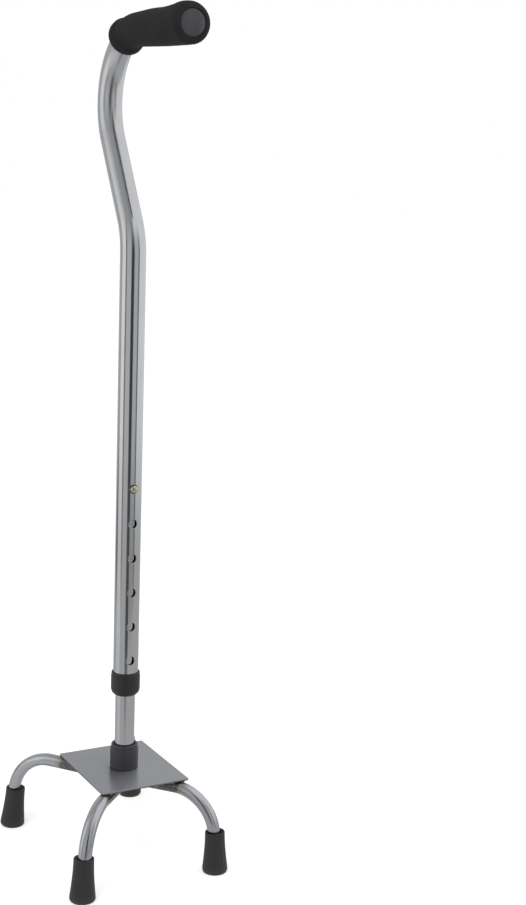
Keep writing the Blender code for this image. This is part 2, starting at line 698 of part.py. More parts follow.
def make_floor_cutter():
    """A block under the floor that cuts the leaning tips' soles flat."""
    bm = bmesh.new()
    middle = Matrix.Translation((0.0, 0.0, -FLOOR_BLOCK_DEPTH / 2))
    size = Matrix.Diagonal((FLOOR_BLOCK_SIZE, FLOOR_BLOCK_SIZE, FLOOR_BLOCK_DEPTH, 1.0))
    bmesh.ops.create_cube(bm, size=1.0, matrix=middle @ size)
    return add_object("floor_block", bm, None)


def start_empty_scene():
    for obj in list(bpy.data.objects):
        bpy.data.objects.remove(obj, do_unlink=True)
    frame = bpy.data.objects.new("cane_frame", None)
    frame.location = (POLE_X, POLE_Y, 0.0)
    bpy.context.collection.objects.link(frame)
    return frame


FRAME = start_empty_scene()
build_upper_tube()
build_foam_grip()
build_grip_end_plug()
build_upper_collar()
build_lower_tube()
build_lower_tube_guide()
build_snap_button()
build_button_spring()
build_socket_stub()
build_socket_bush()
build_tube_foot_plug()
build_base_bolt()
build_base_plate()
FLOOR_CUTTER = make_floor_cutter()
for leg_place in LEGS:
    build_leg(leg_place, FLOOR_CUTTER)
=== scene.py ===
"""Finish of a quad cane: chrome tubes, foam grip, plastic sleeves and rubber tips.

Metres, +Z up, +X the way the handle points. A surface is worked out as rings of points
round a line. The lines and the main sizes are the ones that the solids were made from. Small
forms, such as the plug's dome, the sleeves' grooves and the tips' flutes, are finer here.
"""
import math
from typing import NamedTuple

import bpy
import numpy as np
from mathutils import Matrix, Vector


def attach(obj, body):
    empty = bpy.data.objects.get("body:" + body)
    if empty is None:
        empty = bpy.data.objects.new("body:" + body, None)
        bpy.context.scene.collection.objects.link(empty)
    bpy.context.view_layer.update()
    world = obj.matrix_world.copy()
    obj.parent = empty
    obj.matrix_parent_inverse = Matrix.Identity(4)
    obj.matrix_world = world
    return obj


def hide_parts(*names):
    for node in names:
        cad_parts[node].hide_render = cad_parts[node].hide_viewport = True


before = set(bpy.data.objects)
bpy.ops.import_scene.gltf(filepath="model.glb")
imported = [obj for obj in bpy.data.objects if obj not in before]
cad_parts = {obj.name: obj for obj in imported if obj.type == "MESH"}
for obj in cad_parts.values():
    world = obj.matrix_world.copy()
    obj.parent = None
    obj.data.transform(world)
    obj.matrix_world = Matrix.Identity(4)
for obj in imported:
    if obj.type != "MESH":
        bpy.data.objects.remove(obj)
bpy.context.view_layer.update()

MM = 0.001
GAP = 0.3 * MM
SHARP_ANGLE = math.radians(32)

# Where the pole stands
POLE = np.array([8.41, 9.41, 0.0]) * MM

# Swan-neck tube. NECK_DULLED says between which lengths along it the plating gets duller, and
# how much roughness it gains.
UPPER_RADIUS = 12.7 * MM
UPPER_WALL = 1.2 * MM
NECK_RADIUS = 12.2 * MM
UPPER_END_Z = 173.8 * MM
NECK_Z = 612.5 * MM
LOWER_BEND_RADIUS = 65.6 * MM
NECK_LEAN = math.radians(30.8)
NECK_RUN = 91.4 * MM
UPPER_BEND_RADIUS = 65.5 * MM
HANDLE_DIP = math.radians(2.4)
HANDLE_RUN = 122.4 * MM
PLUG_DISC = 2.1 * MM
NECK_DULLED = (400 * MM, 560 * MM, 0.15)
TOOL_RING_BELOW = 3.7 * MM
TOOL_RING_WIDTH = 1.2 * MM
TOOL_RING_DEPTH = 0.12 * MM
UPPER_SIDES = 96
UPPER_RING_STEP = 2.2 * MM

# Row of adjusting holes, and the square of finer facets round each one
HOLE_RADIUS = 4.5 * MM
HOLE_PITCH = 35.3 * MM
HOLE_COUNT = 6
BUTTON_Z = 383.2 * MM
HOLE_SQUARE = 8.8 * MM
HOLE_SQUARE_CELLS = 12
HOLE_CELLS = 5
HOLE_CLEAR = 1.0 * MM
TUBE_EDGE = 0.5 * MM

# Foam grip, by distance from its rear end
GRIP_ON_BEND = 40.4 * MM
GRIP_FLANGE_RADIUS = 17.2 * MM
GRIP_FLANGE_LENGTH = 16.2 * MM
GRIP_FLANGE_STEP = 4.0 * MM
GRIP_REAR_ROUNDING = 11.3 * MM
GRIP_WAIST_RADIUS = 15.3 * MM
GRIP_FRONT_RADIUS = 18.4 * MM
GRIP_SWELL_POWER = 0.72
GRIP_SWELL_END = 9.0 * MM
GRIP_FRONT_ROUNDING = 7.1 * MM
GRIP_SIDES = 96
GRIP_RING_STEP = 1.2 * MM
GRIP_BORE_RINGS = 60
PLUG_RADIUS = 12.35 * MM
PLUG_TOP = 2.6 * MM
PLUG_DOME = 1.7 * MM
PLUG_SPIGOT = 14 * MM
PLUG_SPIGOT_STRAIGHT = 12.5 * MM
PLUG_SPIGOT_TAPER = 0.8 * MM

# Low swells of the foam: place from its rear end, half width, height and turn round it.
FOAM_SWELLS = (
    (11.0 * MM, 14.0 * MM, 1.3 * MM, math.radians(214)),
    (110.0 * MM, 32.0 * MM, -1.0 * MM, math.radians(200)),
    (148.0 * MM, 14.0 * MM, 1.0 * MM, math.radians(200)),
)
FOAM_WAVES = 0.0035
FOAM_FACE = 0.5 * MM

# Lower tube and snap button
LOWER_RADIUS = 10.0 * MM
LOWER_WALL = 1.2 * MM
LOWER_TOP_Z = 424.0 * MM
LOWER_SIDES = 84
LOWER_RING_STEP = 5.0 * MM
BUTTON_RADIUS = 3.8 * MM
BUTTON_TOP = 15.7 * MM
BUTTON_DOME = 2.8 * MM
BUTTON_FLANGE_RADIUS = 5.2 * MM
BUTTON_FLANGE_BACK = 5.5 * MM
BUTTON_FLANGE_FRONT = 6.7 * MM

# Plastic sleeves. A corner of an end is how far it lies from the end, how far inside the
# sleeve's radius, and its rounding.
SLEEVE_LENGTH_INSIDE = 4 * MM
COLLAR_RADIUS = 14.75 * MM
COLLAR_BOTTOM_Z = 168.9 * MM
COLLAR_TOP_Z = 192.7 * MM
COLLAR_LIP = 5 * MM
COLLAR_BOTTOM_END = (
    (0.0, 3.4 * MM, 1.0 * MM),
    (2.6 * MM, 0.9 * MM, 2.5 * MM),
    (6.0 * MM, 0.0, 6.0 * MM),
)
COLLAR_TOP_END = (
    (3.6 * MM, 0.0, 0.4 * MM),
    (3.2 * MM, 0.6 * MM, 0.2 * MM),
    (2.8 * MM, 0.4 * MM, 0.5 * MM),
    (0.0, 0.4 * MM, 1.3 * MM),
)
BUSH_RADIUS = 14.4 * MM
BUSH_TOP_Z = 116.0 * MM
BUSH_WEB = 4.2 * MM
BUSH_TOP_END = (
    (4.6 * MM, 0.0, 0.6 * MM),
    (4.1 * MM, 1.0 * MM, 0.2 * MM),
    (3.6 * MM, 0.8 * MM, 0.6 * MM),
    (0.0, 1.0 * MM, 1.2 * MM),
)
BUSH_MOUTH_WIDER = 1.7 * MM
BUSH_MOUTH_DEPTH = 1.6 * MM

# Base plate
PLATE_TOP_Z = 90.5 * MM
PLATE_THICKNESS = 2.0 * MM
PLATE_LENGTH = 116.1 * MM
PLATE_WIDTH = 94.2 * MM
PLATE_MIDDLE = np.array([-1.2, -0.5]) * MM
PLATE_TURN = math.radians(0.75)
PLATE_AXES = np.array([[math.cos(PLATE_TURN), math.sin(PLATE_TURN)],
                       [-math.sin(PLATE_TURN), math.cos(PLATE_TURN)]])
PLATE_CORNER = 1.5 * MM
PLATE_EDGE = 0.3 * MM
PLATE_HOLE_RADIUS = 4.25 * MM

# Legs: direction in degrees, how far the leg passes beside the pole's axis, and how far
# out its bend begins
LEG_RADIUS = 6.5 * MM
LEG_WALL = 1.5 * MM
LEG_INNER_END = 16.0 * MM
LEG_BEND_RADIUS = 46.1 * MM
LEG_LEAN = math.radians(2.5)
LEG_FLATTENING = 0.05
LEG_SIDES = 48
LEG_RING_STEP = 1.6 * MM
LEGS = {
    "front_left": (39.7, -4.2 * MM, 58.9 * MM),
    "front_right": (-43.9, 6.0 * MM, 70.6 * MM),
    "rear_left": (151.7, 6.0 * MM, 96.8 * MM),
    "rear_right": (-143.2, 4.6 * MM, 85.9 * MM),
}

# Rubber tips: where each one stands, seen from the pole, and how many degrees it leans
# towards +X and towards +Y
TIPS = {
    "front_left": (84.9 * MM, 65.1 * MM, -0.7, -1.2),
    "front_right": (88.3 * MM, -78.5 * MM, -1.6, 2.0),
    "rear_left": (-130.1 * MM, 63.2 * MM, 2.4, -1.2),
    "rear_right": (-105.4 * MM, -84.0 * MM, 4.0, 3.8),
}
TIP_HEIGHT = 42.5 * MM
TIP_RADIUS = 12.85 * MM
TIP_WIDEST = 3.3 * MM
TIP_NECK_RADIUS = 10.1 * MM
TIP_NECK = 34.5 * MM
TIP_FLARE_POWER = 1.34
TIP_MOUTH_RADIUS = 8.6 * MM
TIP_MOUTH_DEPTH = 3.4 * MM
TIP_TOP_DROP = 0.2 * MM
TIP_TOP_TAPER = 0.15 * MM
TIP_DISH_DROP = 1.6 * MM
TIP_DISH_INWARD = 0.9 * MM
TIP_SOLE_RADIUS = 10.7 * MM
TIP_SOLE_SINK = 1.3 * MM
TIP_GROOVE_INNER = 5.8 * MM
TIP_GROOVE_OUTER = 8.6 * MM
TIP_GROOVE_SLOPE = 0.4 * MM
TIP_GROOVE_DEPTH = 1.3 * MM
TIP_POCKET = 7.5 * MM
TIP_POCKET_CORNER = 0.4 * MM
TIP_WASHER = 1.5 * MM
TIP_SIDES = 144
TIP_FLUTES = 18
TIP_FLUTE_DEPTH = 0.22 * MM
TIP_SEAM_Z = 5.4 * MM
TIP_SEAM_WIDTH = 0.5 * MM
TIP_SEAM_HEIGHT = 0.08 * MM

# Welds under the plate. A bead's line lies aside from the leg's and above it.
WELD_RADIUS = 1.4 * MM
WELD_ASIDE = LEG_RADIUS * 0.72 + WELD_RADIUS * 0.35
WELD_ABOVE = LEG_RADIUS - WELD_RADIUS * 0.75
WELD_LENGTH = 30.0 * MM
WELD_PITCH = 2.2 * MM
WELD_END = 2.5 * MM
WELD_SIDES = 14
WELD_RINGS = 61
WELD_DROPS = 0.12
# The legs' tint: brown from welding, and near black under the plate as painted shade. How far
# before the plate's edge its full stretch ends, and how far it fades beyond.
WELD_HEAT_AND_SHADE_END = 5.0 * MM
WELD_HEAT_AND_SHADE_REACH = 5.0 * MM

# The photograph's camera, seen from the pole
CAMERA_DISTANCE = 1411.2 * MM
CAMERA_HEIGHT = 657.7 * MM
CAMERA_SIDE = math.radians(-23.13)
CAMERA_YAW = math.radians(5.38)
CAMERA_PITCH = math.radians(9.5)
CAMERA_ROLL = math.radians(1.92)
CAMERA_LENS_MM = 57.14
SENSOR_MM = 36.0

# The studio that shows only in reflections, in front of the white background: a floor, a
# round wall and a ceiling, and panels that lie over all three. It stands still in the world.
STUDIO_RADIUS = 1.3
STUDIO_HEIGHT = 1.9
STUDIO_FLOOR_Z = 0.4 * MM
STUDIO_CORNER = 0.30
STUDIO_DIMMER = 1.2
STUDIO_ROWS = 25
CEILING_ROWS = 9
WALL_TONE = 0.59
FLOOR_TONE = 0.50
CEILING_TONE = 0.42

# Light on the cane: the world's strength, the floor with what it adds to its own colour where
# it is seen, and the lamps, each with its place and its power
WORLD_LIGHT = 0.72
FLOOR_LIFT = 0.45
FLOOR_HALF_SIZE = 30.0
FLOOR_COLOUR = (0.8, 0.8, 0.8)
LAMPS_FACE = Vector((0.0, 0.0, 0.45))
LAMPS = {
    "key_lamp": ((1.2, -1.7, 2.0), 22.0),
    "fill_lamp": ((1.6, 1.2, 1.4), 9.0),
}
LAMP_SIZE = 1.2


class Panel(NamedTuple):
    """One panel of the studio.

    It runs between two angles in degrees from the camera's side, and its edges take some
    degrees. It has a strength on the wall, on the ceiling beside the wall, and on the floor
    from one radius, where it begins, to another, from which it is full.
    """

    first: float
    last: float
    brightness: float
    edge: float
    wall: float = 1.0
    ceiling: float = 0.0
    floor: float = 0.0
    floor_begins: float = 0.8
    floor_full: float = STUDIO_RADIUS


PANELS = (
    Panel(-11.5, 14.5, 0.06, 8, ceiling=0.3, floor=0.92, floor_begins=0.2, floor_full=0.79),
    Panel(16, 50, 0.30, 8, wall=0.12, floor=0.65, floor_begins=0.55, floor_full=1.0),
    Panel(-104, -60, 0.96, 7, ceiling=0.3, floor=0.46, floor_begins=-0.6, floor_full=1.0),
    Panel(-65, -53, 0.20, 4, floor=0.85),
    Panel(-135, -105, 0.12, 5, wall=0.20, floor=0.75),
    Panel(12, 66, 0.84, 16, wall=0.0, ceiling=1.0),
    Panel(50, 62, 0.12, 4, floor=0.85),
    Panel(61, 150, 0.86, 9, ceiling=1.0),
)


class Line:
    """Straight runs and round bends in one upright plane through or beside the pole's axis.

    A piece of line keeps its curvature k. After a length l its heading is h + k l, and it
    has moved by the chord l sinc(k l / 2) in the direction h + k l / 2, which holds for a
    straight run as well. A heading is measured from straight up.
    """

    def __init__(self, reach, height, heading, azimuth=0.0, aside=0.0):
        self.outward = np.array([math.cos(azimuth), math.sin(azimuth), 0.0])
        self.across = np.array([-math.sin(azimuth), math.cos(azimuth), 0.0])
        self.beside = self.across * aside
        self.knots = [(0.0, reach, height, heading, 0.0)]
        self.length = 0.0

    def _add(self, length, curvature):
        start, reach, height, heading, _ = self.knots[-1]
        self.knots[-1] = (start, reach, height, heading, curvature)
        reach, height, heading = self._flat(np.array([start + length]))
        self.length = start + length
        self.knots.append((self.length, reach[0], height[0], heading[0], 0.0))
        return self

    def run(self, length):
        """Go straight on."""
        return self._add(length, 0.0)

    def bend(self, radius, angle):
        """Go round by an angle. Above 0 it turns from up to outward, or from outward to down."""
        return self._add(radius * abs(angle), math.copysign(1.0 / radius, angle))

    def _flat(self, distances):
        knots = np.array(self.knots)
        which = np.searchsorted(knots[:, 0], distances, side="right") - 1
        which = np.clip(which, 0, len(knots) - 1)
        start, reach, height, heading, curvature = np.moveaxis(knots[which], -1, 0)
        travelled = distances - start
        turn = curvature * travelled
        chord = travelled * np.sinc(turn / math.tau)
        return (reach + chord * np.sin(heading + turn / 2),
                height + chord * np.cos(heading + turn / 2), heading + turn)

    def at(self, distances):
        """Points, and the unit vector that an angle of 0 round the line points along."""
        reach, height, heading = self._flat(np.asarray(distances, float))
        up = np.array([0.0, 0.0, 1.0])
        point = reach[..., None] * self.outward + self.beside + height[..., None] * up
        side = np.cos(heading)[..., None] * self.outward - np.sin(heading)[..., None] * up
        return point, side


def upright():
    """The pole's own axis, on which a distance is a height above the floor."""
    return Line(0.0, 0.0, 0.0).run(1.0)


def neck_line():
    """The swan neck: straight up, back by its lean, over the top, and forward."""
    line = Line(0.0, UPPER_END_Z, 0.0).run(NECK_Z - UPPER_END_Z)
    line.bend(LOWER_BEND_RADIUS, -NECK_LEAN).run(NECK_RUN)
    line.bend(UPPER_BEND_RADIUS, NECK_LEAN + math.pi / 2 + HANDLE_DIP)
    return line.run(HANDLE_RUN - PLUG_DISC - GAP)


def leg_line(degrees, aside, bend_start):
    """A leg: straight out under the plate, down round its bend, and out by its lean."""
    height = PLATE_TOP_Z - PLATE_THICKNESS - GAP - LEG_RADIUS
    line = Line(LEG_INNER_END, height, math.pi / 2, math.radians(degrees), aside)
    line.run(bend_start - LEG_INNER_END)
    line.bend(LEG_BEND_RADIUS, math.pi / 2 - LEG_LEAN)
    return line.run(line.knots[-1][2] / math.cos(LEG_LEAN))


def smooth_step(value):
    """0 below 0, 1 above 1, and 3 v^2 - 2 v^3 between them."""
    value = np.clip(value, 0.0, 1.0)
    return value * value * (3.0 - 2.0 * value)


def rounded(corners, steps=5):
    """Turn corners (distance, radius, rounding) into points, with an arc at each corner.

    The arc is a Bezier curve of second degree from one side to the other, which starts and
    ends at rounding times tan(half the turn) from the corner, as a fillet does.
    """
    corners = np.array(corners, float)
    places = corners[:, :2]
    points = [places[0]]
    for before, corner, after, rounding in zip(places, places[1:], places[2:], corners[1:-1, 2]):
        back = before - corner
        onward = after - corner
        back_length, onward_length = np.linalg.norm(back), np.linalg.norm(onward)
        back, onward = back / back_length, onward / onward_length
        half_turn = (math.pi - math.acos(float(np.clip(back @ onward, -1.0, 1.0)))) / 2
        reach = min(rounding * math.tan(half_turn), back_length * 0.49, onward_length * 0.49)
        if reach < 0.01 * MM:
            points.append(corner)
            continue
        share = np.linspace(0.0, 1.0, steps + 1)[:, None]
        points += list(corner + back * reach * (1 - share) ** 2 + onward * reach * share ** 2)
    points.append(places[-1])
    return np.array(points)


def rings_round(line, distances, radii, angles):
    """Grid of points: line point + radius (cos angle side + sin angle across)."""
    point, side = line.at(distances)
    return (point + radii[..., None] * (np.cos(angles)[..., None] * side
                                        + np.sin(angles)[..., None] * line.across))


def once_round(sides):
    """Even angles round a line."""
    return np.arange(sides) * math.tau / sides


def spun(outline, sides):
    """Distances, radii and angles of an outline's points on all sides of a line."""
    distances = np.repeat(outline[:, :1], sides, axis=1)
    radii = np.repeat(outline[:, 1:], sides, axis=1)
    return distances, radii, np.broadcast_to(once_round(sides), radii.shape)


def grid_faces(rows, columns, closed):
    """Quads between neighbouring rings, each ring closed on itself, as rows by columns."""
    last = rows if closed else rows - 1
    row, column = np.meshgrid(np.arange(last), np.arange(columns), indexing="ij")
    after, beside = (row + 1) % rows, (column + 1) % columns
    return np.stack([row * columns + column, row * columns + beside,
                     after * columns + beside, after * columns + column], axis=-1)


def grid_marks(rows, columns, width, lengths):
    """Texture places of the quads' corners: metres round the piece, and metres along it."""
    row, column = np.meshgrid(np.arange(rows - 1), np.arange(columns), indexing="ij")
    around = [width * (column + step) for step in (0, 1, 1, 0)]
    along = [lengths[row], lengths[row], lengths[row + 1], lengths[row + 1]]
    return np.stack([np.stack(around, -1), np.stack(along, -1)], -1)


def set_marks(mesh, marks):
    """Give each corner of a mesh's faces its texture place."""
    layer = mesh.uv_layers.new(name="along")
    layer.data.foreach_set("uv", np.asarray(marks, np.float32).ravel())


def set_values(mesh, name, values):
    """Give each point of a mesh a number that its material reads by this name."""
    layer = mesh.attributes.new(name, "FLOAT", "POINT")
    layer.data.foreach_set("value", np.asarray(values, np.float32).ravel())


def add_object(name, data):
    """Put a mesh, a camera or a lamp into the scene."""
    added = bpy.data.objects.new(name, data)
    bpy.context.scene.collection.objects.link(added)
    return added


def make_piece(name, points, faces, finish, body, marks=None):
    """Put the points that faces use into a mesh that moves with a body."""
    points, faces = np.asarray(points).reshape(-1, 3) + POLE, np.asarray(faces)
    faces = faces.reshape(-1, faces.shape[-1])
    used, faces = np.unique(faces, return_inverse=True)
    faces = faces.reshape(-1, 4)
    mesh = bpy.data.meshes.new(name)
    corners = [list(dict.fromkeys(face)) for face in faces.tolist()]
    mesh.from_pydata(points[used].tolist(), [], corners)
    if marks is not None:
        set_marks(mesh, marks)
    mesh.shade_smooth()
    mesh.set_sharp_from_angle(angle=SHARP_ANGLE)
    mesh.materials.append(finish)
    piece = add_object(name, mesh)
    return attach(piece, body)


def ring_piece(name, rings, finish, body, has_poles=False):
    """Join rings of points. The last ring meets the first, or each of the two is one point."""
    rows, sides = rings.shape[:2]
    faces = grid_faces(rows, sides, closed=not has_poles)
    if has_poles:
        last = (rows - 1) * sides
        faces = np.where(faces < sides, 0, faces)
        faces = np.where(faces >= last, last, faces)
    return make_piece(name, rings, faces, finish, body)


def turned_piece(name, line, outline, finish, body, sides=72, ripple=None):
    """Carry an outline of (distance, radius) points round a line.

    It closes on itself, or starts and ends with a radius of 0. A ripple gives what is added
    to each radius, for its distance and angle.
    """
    distances, radii, angles = spun(outline, sides)
    if ripple:
        radii = radii + ripple(distances, angles, radii)
    rings = rings_round(line, distances, radii, angles)
    return ring_piece(name, rings, finish, body, has_poles=outline[0, 1] == 0.0)


def give_wall(piece, wall, edge=0.3 * MM):
    """Thicken a surface inwards and break its edges."""
    solidify = piece.modifiers.new("wall", "SOLIDIFY")
    solidify.thickness = wall
    solidify.offset = -1.0
    bevel = piece.modifiers.new("edges", "BEVEL")
    bevel.width = edge
    bevel.segments = 2
    bevel.limit_method = "ANGLE"
    bevel.angle_limit = math.radians(50)
    bevel.harden_normals = True


# Most values of a noise lie between these two
NOISE_RANGE = (0.3, 0.7)


class Finish:
    """A material under construction: one Principled shader and the nodes that feed it."""

    def __init__(self, name, colour, metallic, roughness):
        self.material = bpy.data.materials.new(name)
        self.material.use_nodes = True
        self.nodes = self.material.node_tree.nodes
        self.links = self.material.node_tree.links
        self.shader = self.nodes["Principled BSDF"]
        self.shader.inputs["Base Color"].default_value = (*colour, 1.0)
        self.shader.inputs["Metallic"].default_value = metallic
        self.shader.inputs["Roughness"].default_value = roughness
        self.colour = colour
        self.place = self.nodes.new("ShaderNodeTexCoord").outputs["Object"]

    def node(self, kind, values=None, **settings):
        """Add a node with its settings. A value is a number, or a socket that is joined to it."""
        node = self.nodes.new(kind)
        for key, value in settings.items():
            setattr(node, key, value)
        for key, value in (values or {}).items():
            if isinstance(value, bpy.types.NodeSocket):
                self.links.new(value, node.inputs[key])
            else:
                node.inputs[key].default_value = value
        return node

    def along(self):
        """Read the piece's own marks, metres round and along it, from here on."""
        self.place = self.node("ShaderNodeUVMap", uv_map="along").outputs["UV"]
        return self

    def noise(self, scale, detail=3.0, stretch=(1.0, 1.0, 1.0)):
        """Noise from 0 to 1 at the place that the finish reads."""
        mapping = self.node("ShaderNodeMapping", {"Vector": self.place, "Scale": stretch})
        noise = self.node("ShaderNodeTexNoise", {"Vector": mapping.outputs[0], "Scale": scale,
                                                 "Detail": detail})
        return noise.outputs["Fac"]

    def spread(self, value, low, high, new_low, new_high):
        """Take the part of a value between low and high to a new range."""
        node = self.node("ShaderNodeMapRange", {"Value": value, "From Min": low, "From Max": high,
                                                "To Min": new_low, "To Max": new_high})
        return node.outputs["Result"]

    def tint(self, value, colours, stops=None):
        """A colour for each value from 0 to 1."""
        ramp = self.node("ShaderNodeValToRGB", {"Fac": value})
        band = ramp.color_ramp
        stops = stops or np.linspace(0.0, 1.0, len(colours))
        while len(band.elements) < len(colours):
            band.elements.new(0.5)
        for element, stop, colour in zip(band.elements, stops, colours):
            element.position = stop
            element.color = (*colour, 1.0)
        return ramp.outputs["Color"]

    def feed(self, socket, value):
        """Join a value to an input of the shader."""
        self.links.new(value, self.shader.inputs[socket])
        return self

    def bump(self, height, depth, strength=1.0):
        """Raise the surface by depth metres where height is 1."""
        node = self.node("ShaderNodeBump", {"Height": height, "Distance": depth,
                                            "Strength": strength})
        return self.feed("Normal", node.outputs["Normal"])

    def shades(self, noise, darker, lighter):
        """Vary the colour between two factors of itself."""
        low = [channel * darker for channel in self.colour]
        high = [channel * lighter for channel in self.colour]
        value = self.spread(noise, *NOISE_RANGE, 0.0, 1.0)
        return self.feed("Base Color", self.tint(value, [low, high]))

    def dulls(self, noise, low, high):
        """Vary the roughness between two values."""
        return self.feed("Roughness", self.spread(noise, *NOISE_RANGE, low, high))


def chrome_finish(name, colour, roughness, dulled=None):
    """Bright plate over drawn steel: a few duller streaks and clouds along the tube.

    It may get duller between two lengths along the tube, by what is added to its roughness.
    """
    finish = Finish(name, colour, 1.0, roughness).along()
    streaks = finish.noise(1.0, 3.0, (1400.0, 12.0, 1.0))
    clouds = finish.noise(38.0, 4.0)
    finish.shades(clouds, 0.965, 1.025)
    dull = finish.spread(streaks, *NOISE_RANGE, roughness * 0.88, roughness * 1.14)
    if dulled:
        start, end, more = dulled
        length = finish.node("ShaderNodeSeparateXYZ", {"Vector": finish.place}).outputs["Y"]
        added = finish.spread(length, start, end, 0.0, more)
        dull = finish.node("ShaderNodeMath", {0: dull, 1: added}, operation="ADD").outputs[0]
    finish.feed("Roughness", dull)
    return finish


def leg_finish():
    """Chrome with a brown tint that welding left, and painted shade that turns it near black under
    the plate.
    """
    finish = chrome_finish("leg_chrome", (0.535, 0.55, 0.575), 0.23)
    heat_and_shade = finish.node("ShaderNodeAttribute", attribute_name="weld_heat_and_shade").outputs["Fac"]
    spots = finish.spread(finish.noise(260.0, 3.0), 0.35, 0.65, 0.7, 1.0)
    burnt_and_shaded = finish.node("ShaderNodeMath", {0: heat_and_shade, 1: spots}, operation="MULTIPLY")
    # The last colour, near black, is painted shade where the leg runs under the plate.
    colours = [finish.colour, (0.42, 0.40, 0.36), (0.15, 0.14, 0.13)]
    finish.feed("Base Color", finish.tint(burnt_and_shaded.outputs[0], colours, [0.08, 0.45, 0.9]))
    return finish


def plate_finish():
    """Plate over ground sheet, which blurs a reflection across the grinding, not along it.

    The lower part of the cut rim is painted near black, as painted shade.
    """
    finish = Finish("plate_chrome", (0.502, 0.520, 0.553), 1.0, 0.32)
    finish.shader.inputs["Anisotropic"].default_value = 0.93
    across = finish.node("ShaderNodeTangent", direction_type="UV_MAP", uv_map="along")
    finish.feed("Tangent", across.outputs["Tangent"])
    # Painted shade: the rim's colour goes near black towards its bottom.
    rim_shade = finish.node("ShaderNodeAttribute", attribute_name="rim_shade").outputs["Fac"]
    finish.feed("Base Color", finish.tint(rim_shade, [finish.colour, (0.10, 0.10, 0.105)]))
    clouds = finish.noise(24.0, 2.0)
    finish.dulls(clouds, 0.30, 0.34)
    return finish


def foam_finish():
    """Closed-cell foam: a matt skin over fine cells."""
    finish = Finish("grip_foam", (0.0165, 0.0165, 0.017), 0.0, 0.85)
    finish.shader.inputs["Specular IOR Level"].default_value = 0.25
    cells = finish.node("ShaderNodeTexVoronoi", {"Vector": finish.place, "Scale": 1500.0})
    clouds = finish.noise(60.0, 3.0)
    finish.shades(clouds, 0.88, 1.12)
    finish.bump(cells.outputs["Distance"], 0.10 * MM, 0.6)
    return finish


def rubber_finish():
    """Moulded rubber: a slightly uneven matt skin, dusted a little near the floor."""
    finish = Finish("tip_rubber", (0.018, 0.018, 0.0185), 0.0, 0.42)
    finish.shader.inputs["Specular IOR Level"].default_value = 0.55
    grain = finish.noise(900.0, 4.0)
    clouds = finish.noise(70.0, 4.0)
    height = finish.node("ShaderNodeSeparateXYZ", {"Vector": finish.place}).outputs["Z"]
    dust = finish.spread(height, 9.0 * MM, 0.5 * MM, 0.0, 0.6)
    cover = finish.node("ShaderNodeMath", {0: dust, 1: clouds}, operation="MULTIPLY")
    colours = [finish.colour, (0.075, 0.072, 0.068)]
    finish.feed("Base Color", finish.tint(cover.outputs[0], colours))
    finish.dulls(clouds, 0.36, 0.50)
    finish.bump(grain, 0.05 * MM, 0.5)
    return finish


def plastic_finish(name, colour, roughness, specular=0.5):
    """Moulded plastic with a fine satin grain."""
    finish = Finish(name, colour, 0.0, roughness)
    finish.shader.inputs["Specular IOR Level"].default_value = specular
    grain = finish.noise(1400.0, 3.0)
    clouds = finish.noise(55.0, 3.0)
    finish.shades(clouds, 0.92, 1.08)
    finish.dulls(clouds, roughness * 0.88, roughness * 1.15)
    finish.bump(grain, 0.02 * MM, 0.4)
    return finish


def worn_metal_finish(name, colour, roughness):
    """Turned or zinc-plated metal, a little mottled."""
    finish = Finish(name, colour, 1.0, roughness)
    mottle = finish.noise(420.0, 4.0)
    finish.shades(mottle, 0.82, 1.1)
    finish.dulls(mottle, roughness * 0.8, roughness * 1.25)
    finish.bump(mottle, 0.03 * MM, 0.4)
    return finish


TUBE_CHROME = chrome_finish("tube_chrome", (0.60, 0.612, 0.63), 0.10, NECK_DULLED).material
LEG_CHROME = leg_finish().material
PLATE_CHROME = plate_finish().material
FOAM = foam_finish().material
RUBBER = rubber_finish().material
BLACK_PLASTIC = plastic_finish("collar_plastic", (0.014, 0.0145, 0.016), 0.36).material
BUSH_PLASTIC = plastic_finish("bush_plastic", (0.034, 0.032, 0.038), 0.36).material
GREY_PLASTIC = plastic_finish("plug_plastic", (0.026, 0.027, 0.033), 0.32, 0.9).material
WHITE_PLASTIC = plastic_finish("guide_plastic", (0.75, 0.75, 0.73), 0.45).material
BRASS = worn_metal_finish("button_brass", (0.66, 0.58, 0.43), 0.18).material
SPRING_STEEL = worn_metal_finish("spring_steel", (0.30, 0.31, 0.33), 0.35).material
ZINC = worn_metal_finish("zinc_plate", (0.55, 0.56, 0.57), 0.36).material
WELD_METAL = worn_metal_finish("weld_metal", (0.40, 0.38, 0.34), 0.42).material

NODE_FINISHES = {
    "lower_tube_guide": WHITE_PLASTIC,
    "button_spring": SPRING_STEEL,
    "socket_stub": ZINC,
    "tube_foot_plug": ZINC,
    "base_bolt": ZINC,
    "base_bolt_washer": ZINC,
    **{"tip_washer_" + place: ZINC for place in LEGS},
}


def finish_solids():
    """Give the solids that stay their own finish."""
    for node, finish in NODE_FINISHES.items():
        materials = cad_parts[node].data.materials
        materials.clear()
        materials.append(finish)


def tube_grid(line, radius, holes, spacing, sides):
    """Distances along a tube and angles round it, both finer in a square at each hole."""
    squares = [np.linspace(middle - HOLE_SQUARE, middle + HOLE_SQUARE, 2 * HOLE_SQUARE_CELLS + 1)
               for middle in holes]
    fine = np.concatenate(squares)
    rest = np.linspace(0.0, line.length, int(line.length / spacing))
    clear = np.abs(rest[:, None] - fine[None, :]).min(axis=1) > HOLE_CLEAR
    lengths = np.sort(np.concatenate([fine, rest[clear]]))
    half = HOLE_SQUARE / radius
    beside = np.linspace(-half, half, 2 * HOLE_SQUARE_CELLS + 1)
    behind = np.linspace(half, math.tau - half, sides - 2 * HOLE_SQUARE_CELLS + 1)[1:-1]
    return lengths, np.concatenate([beside, behind])


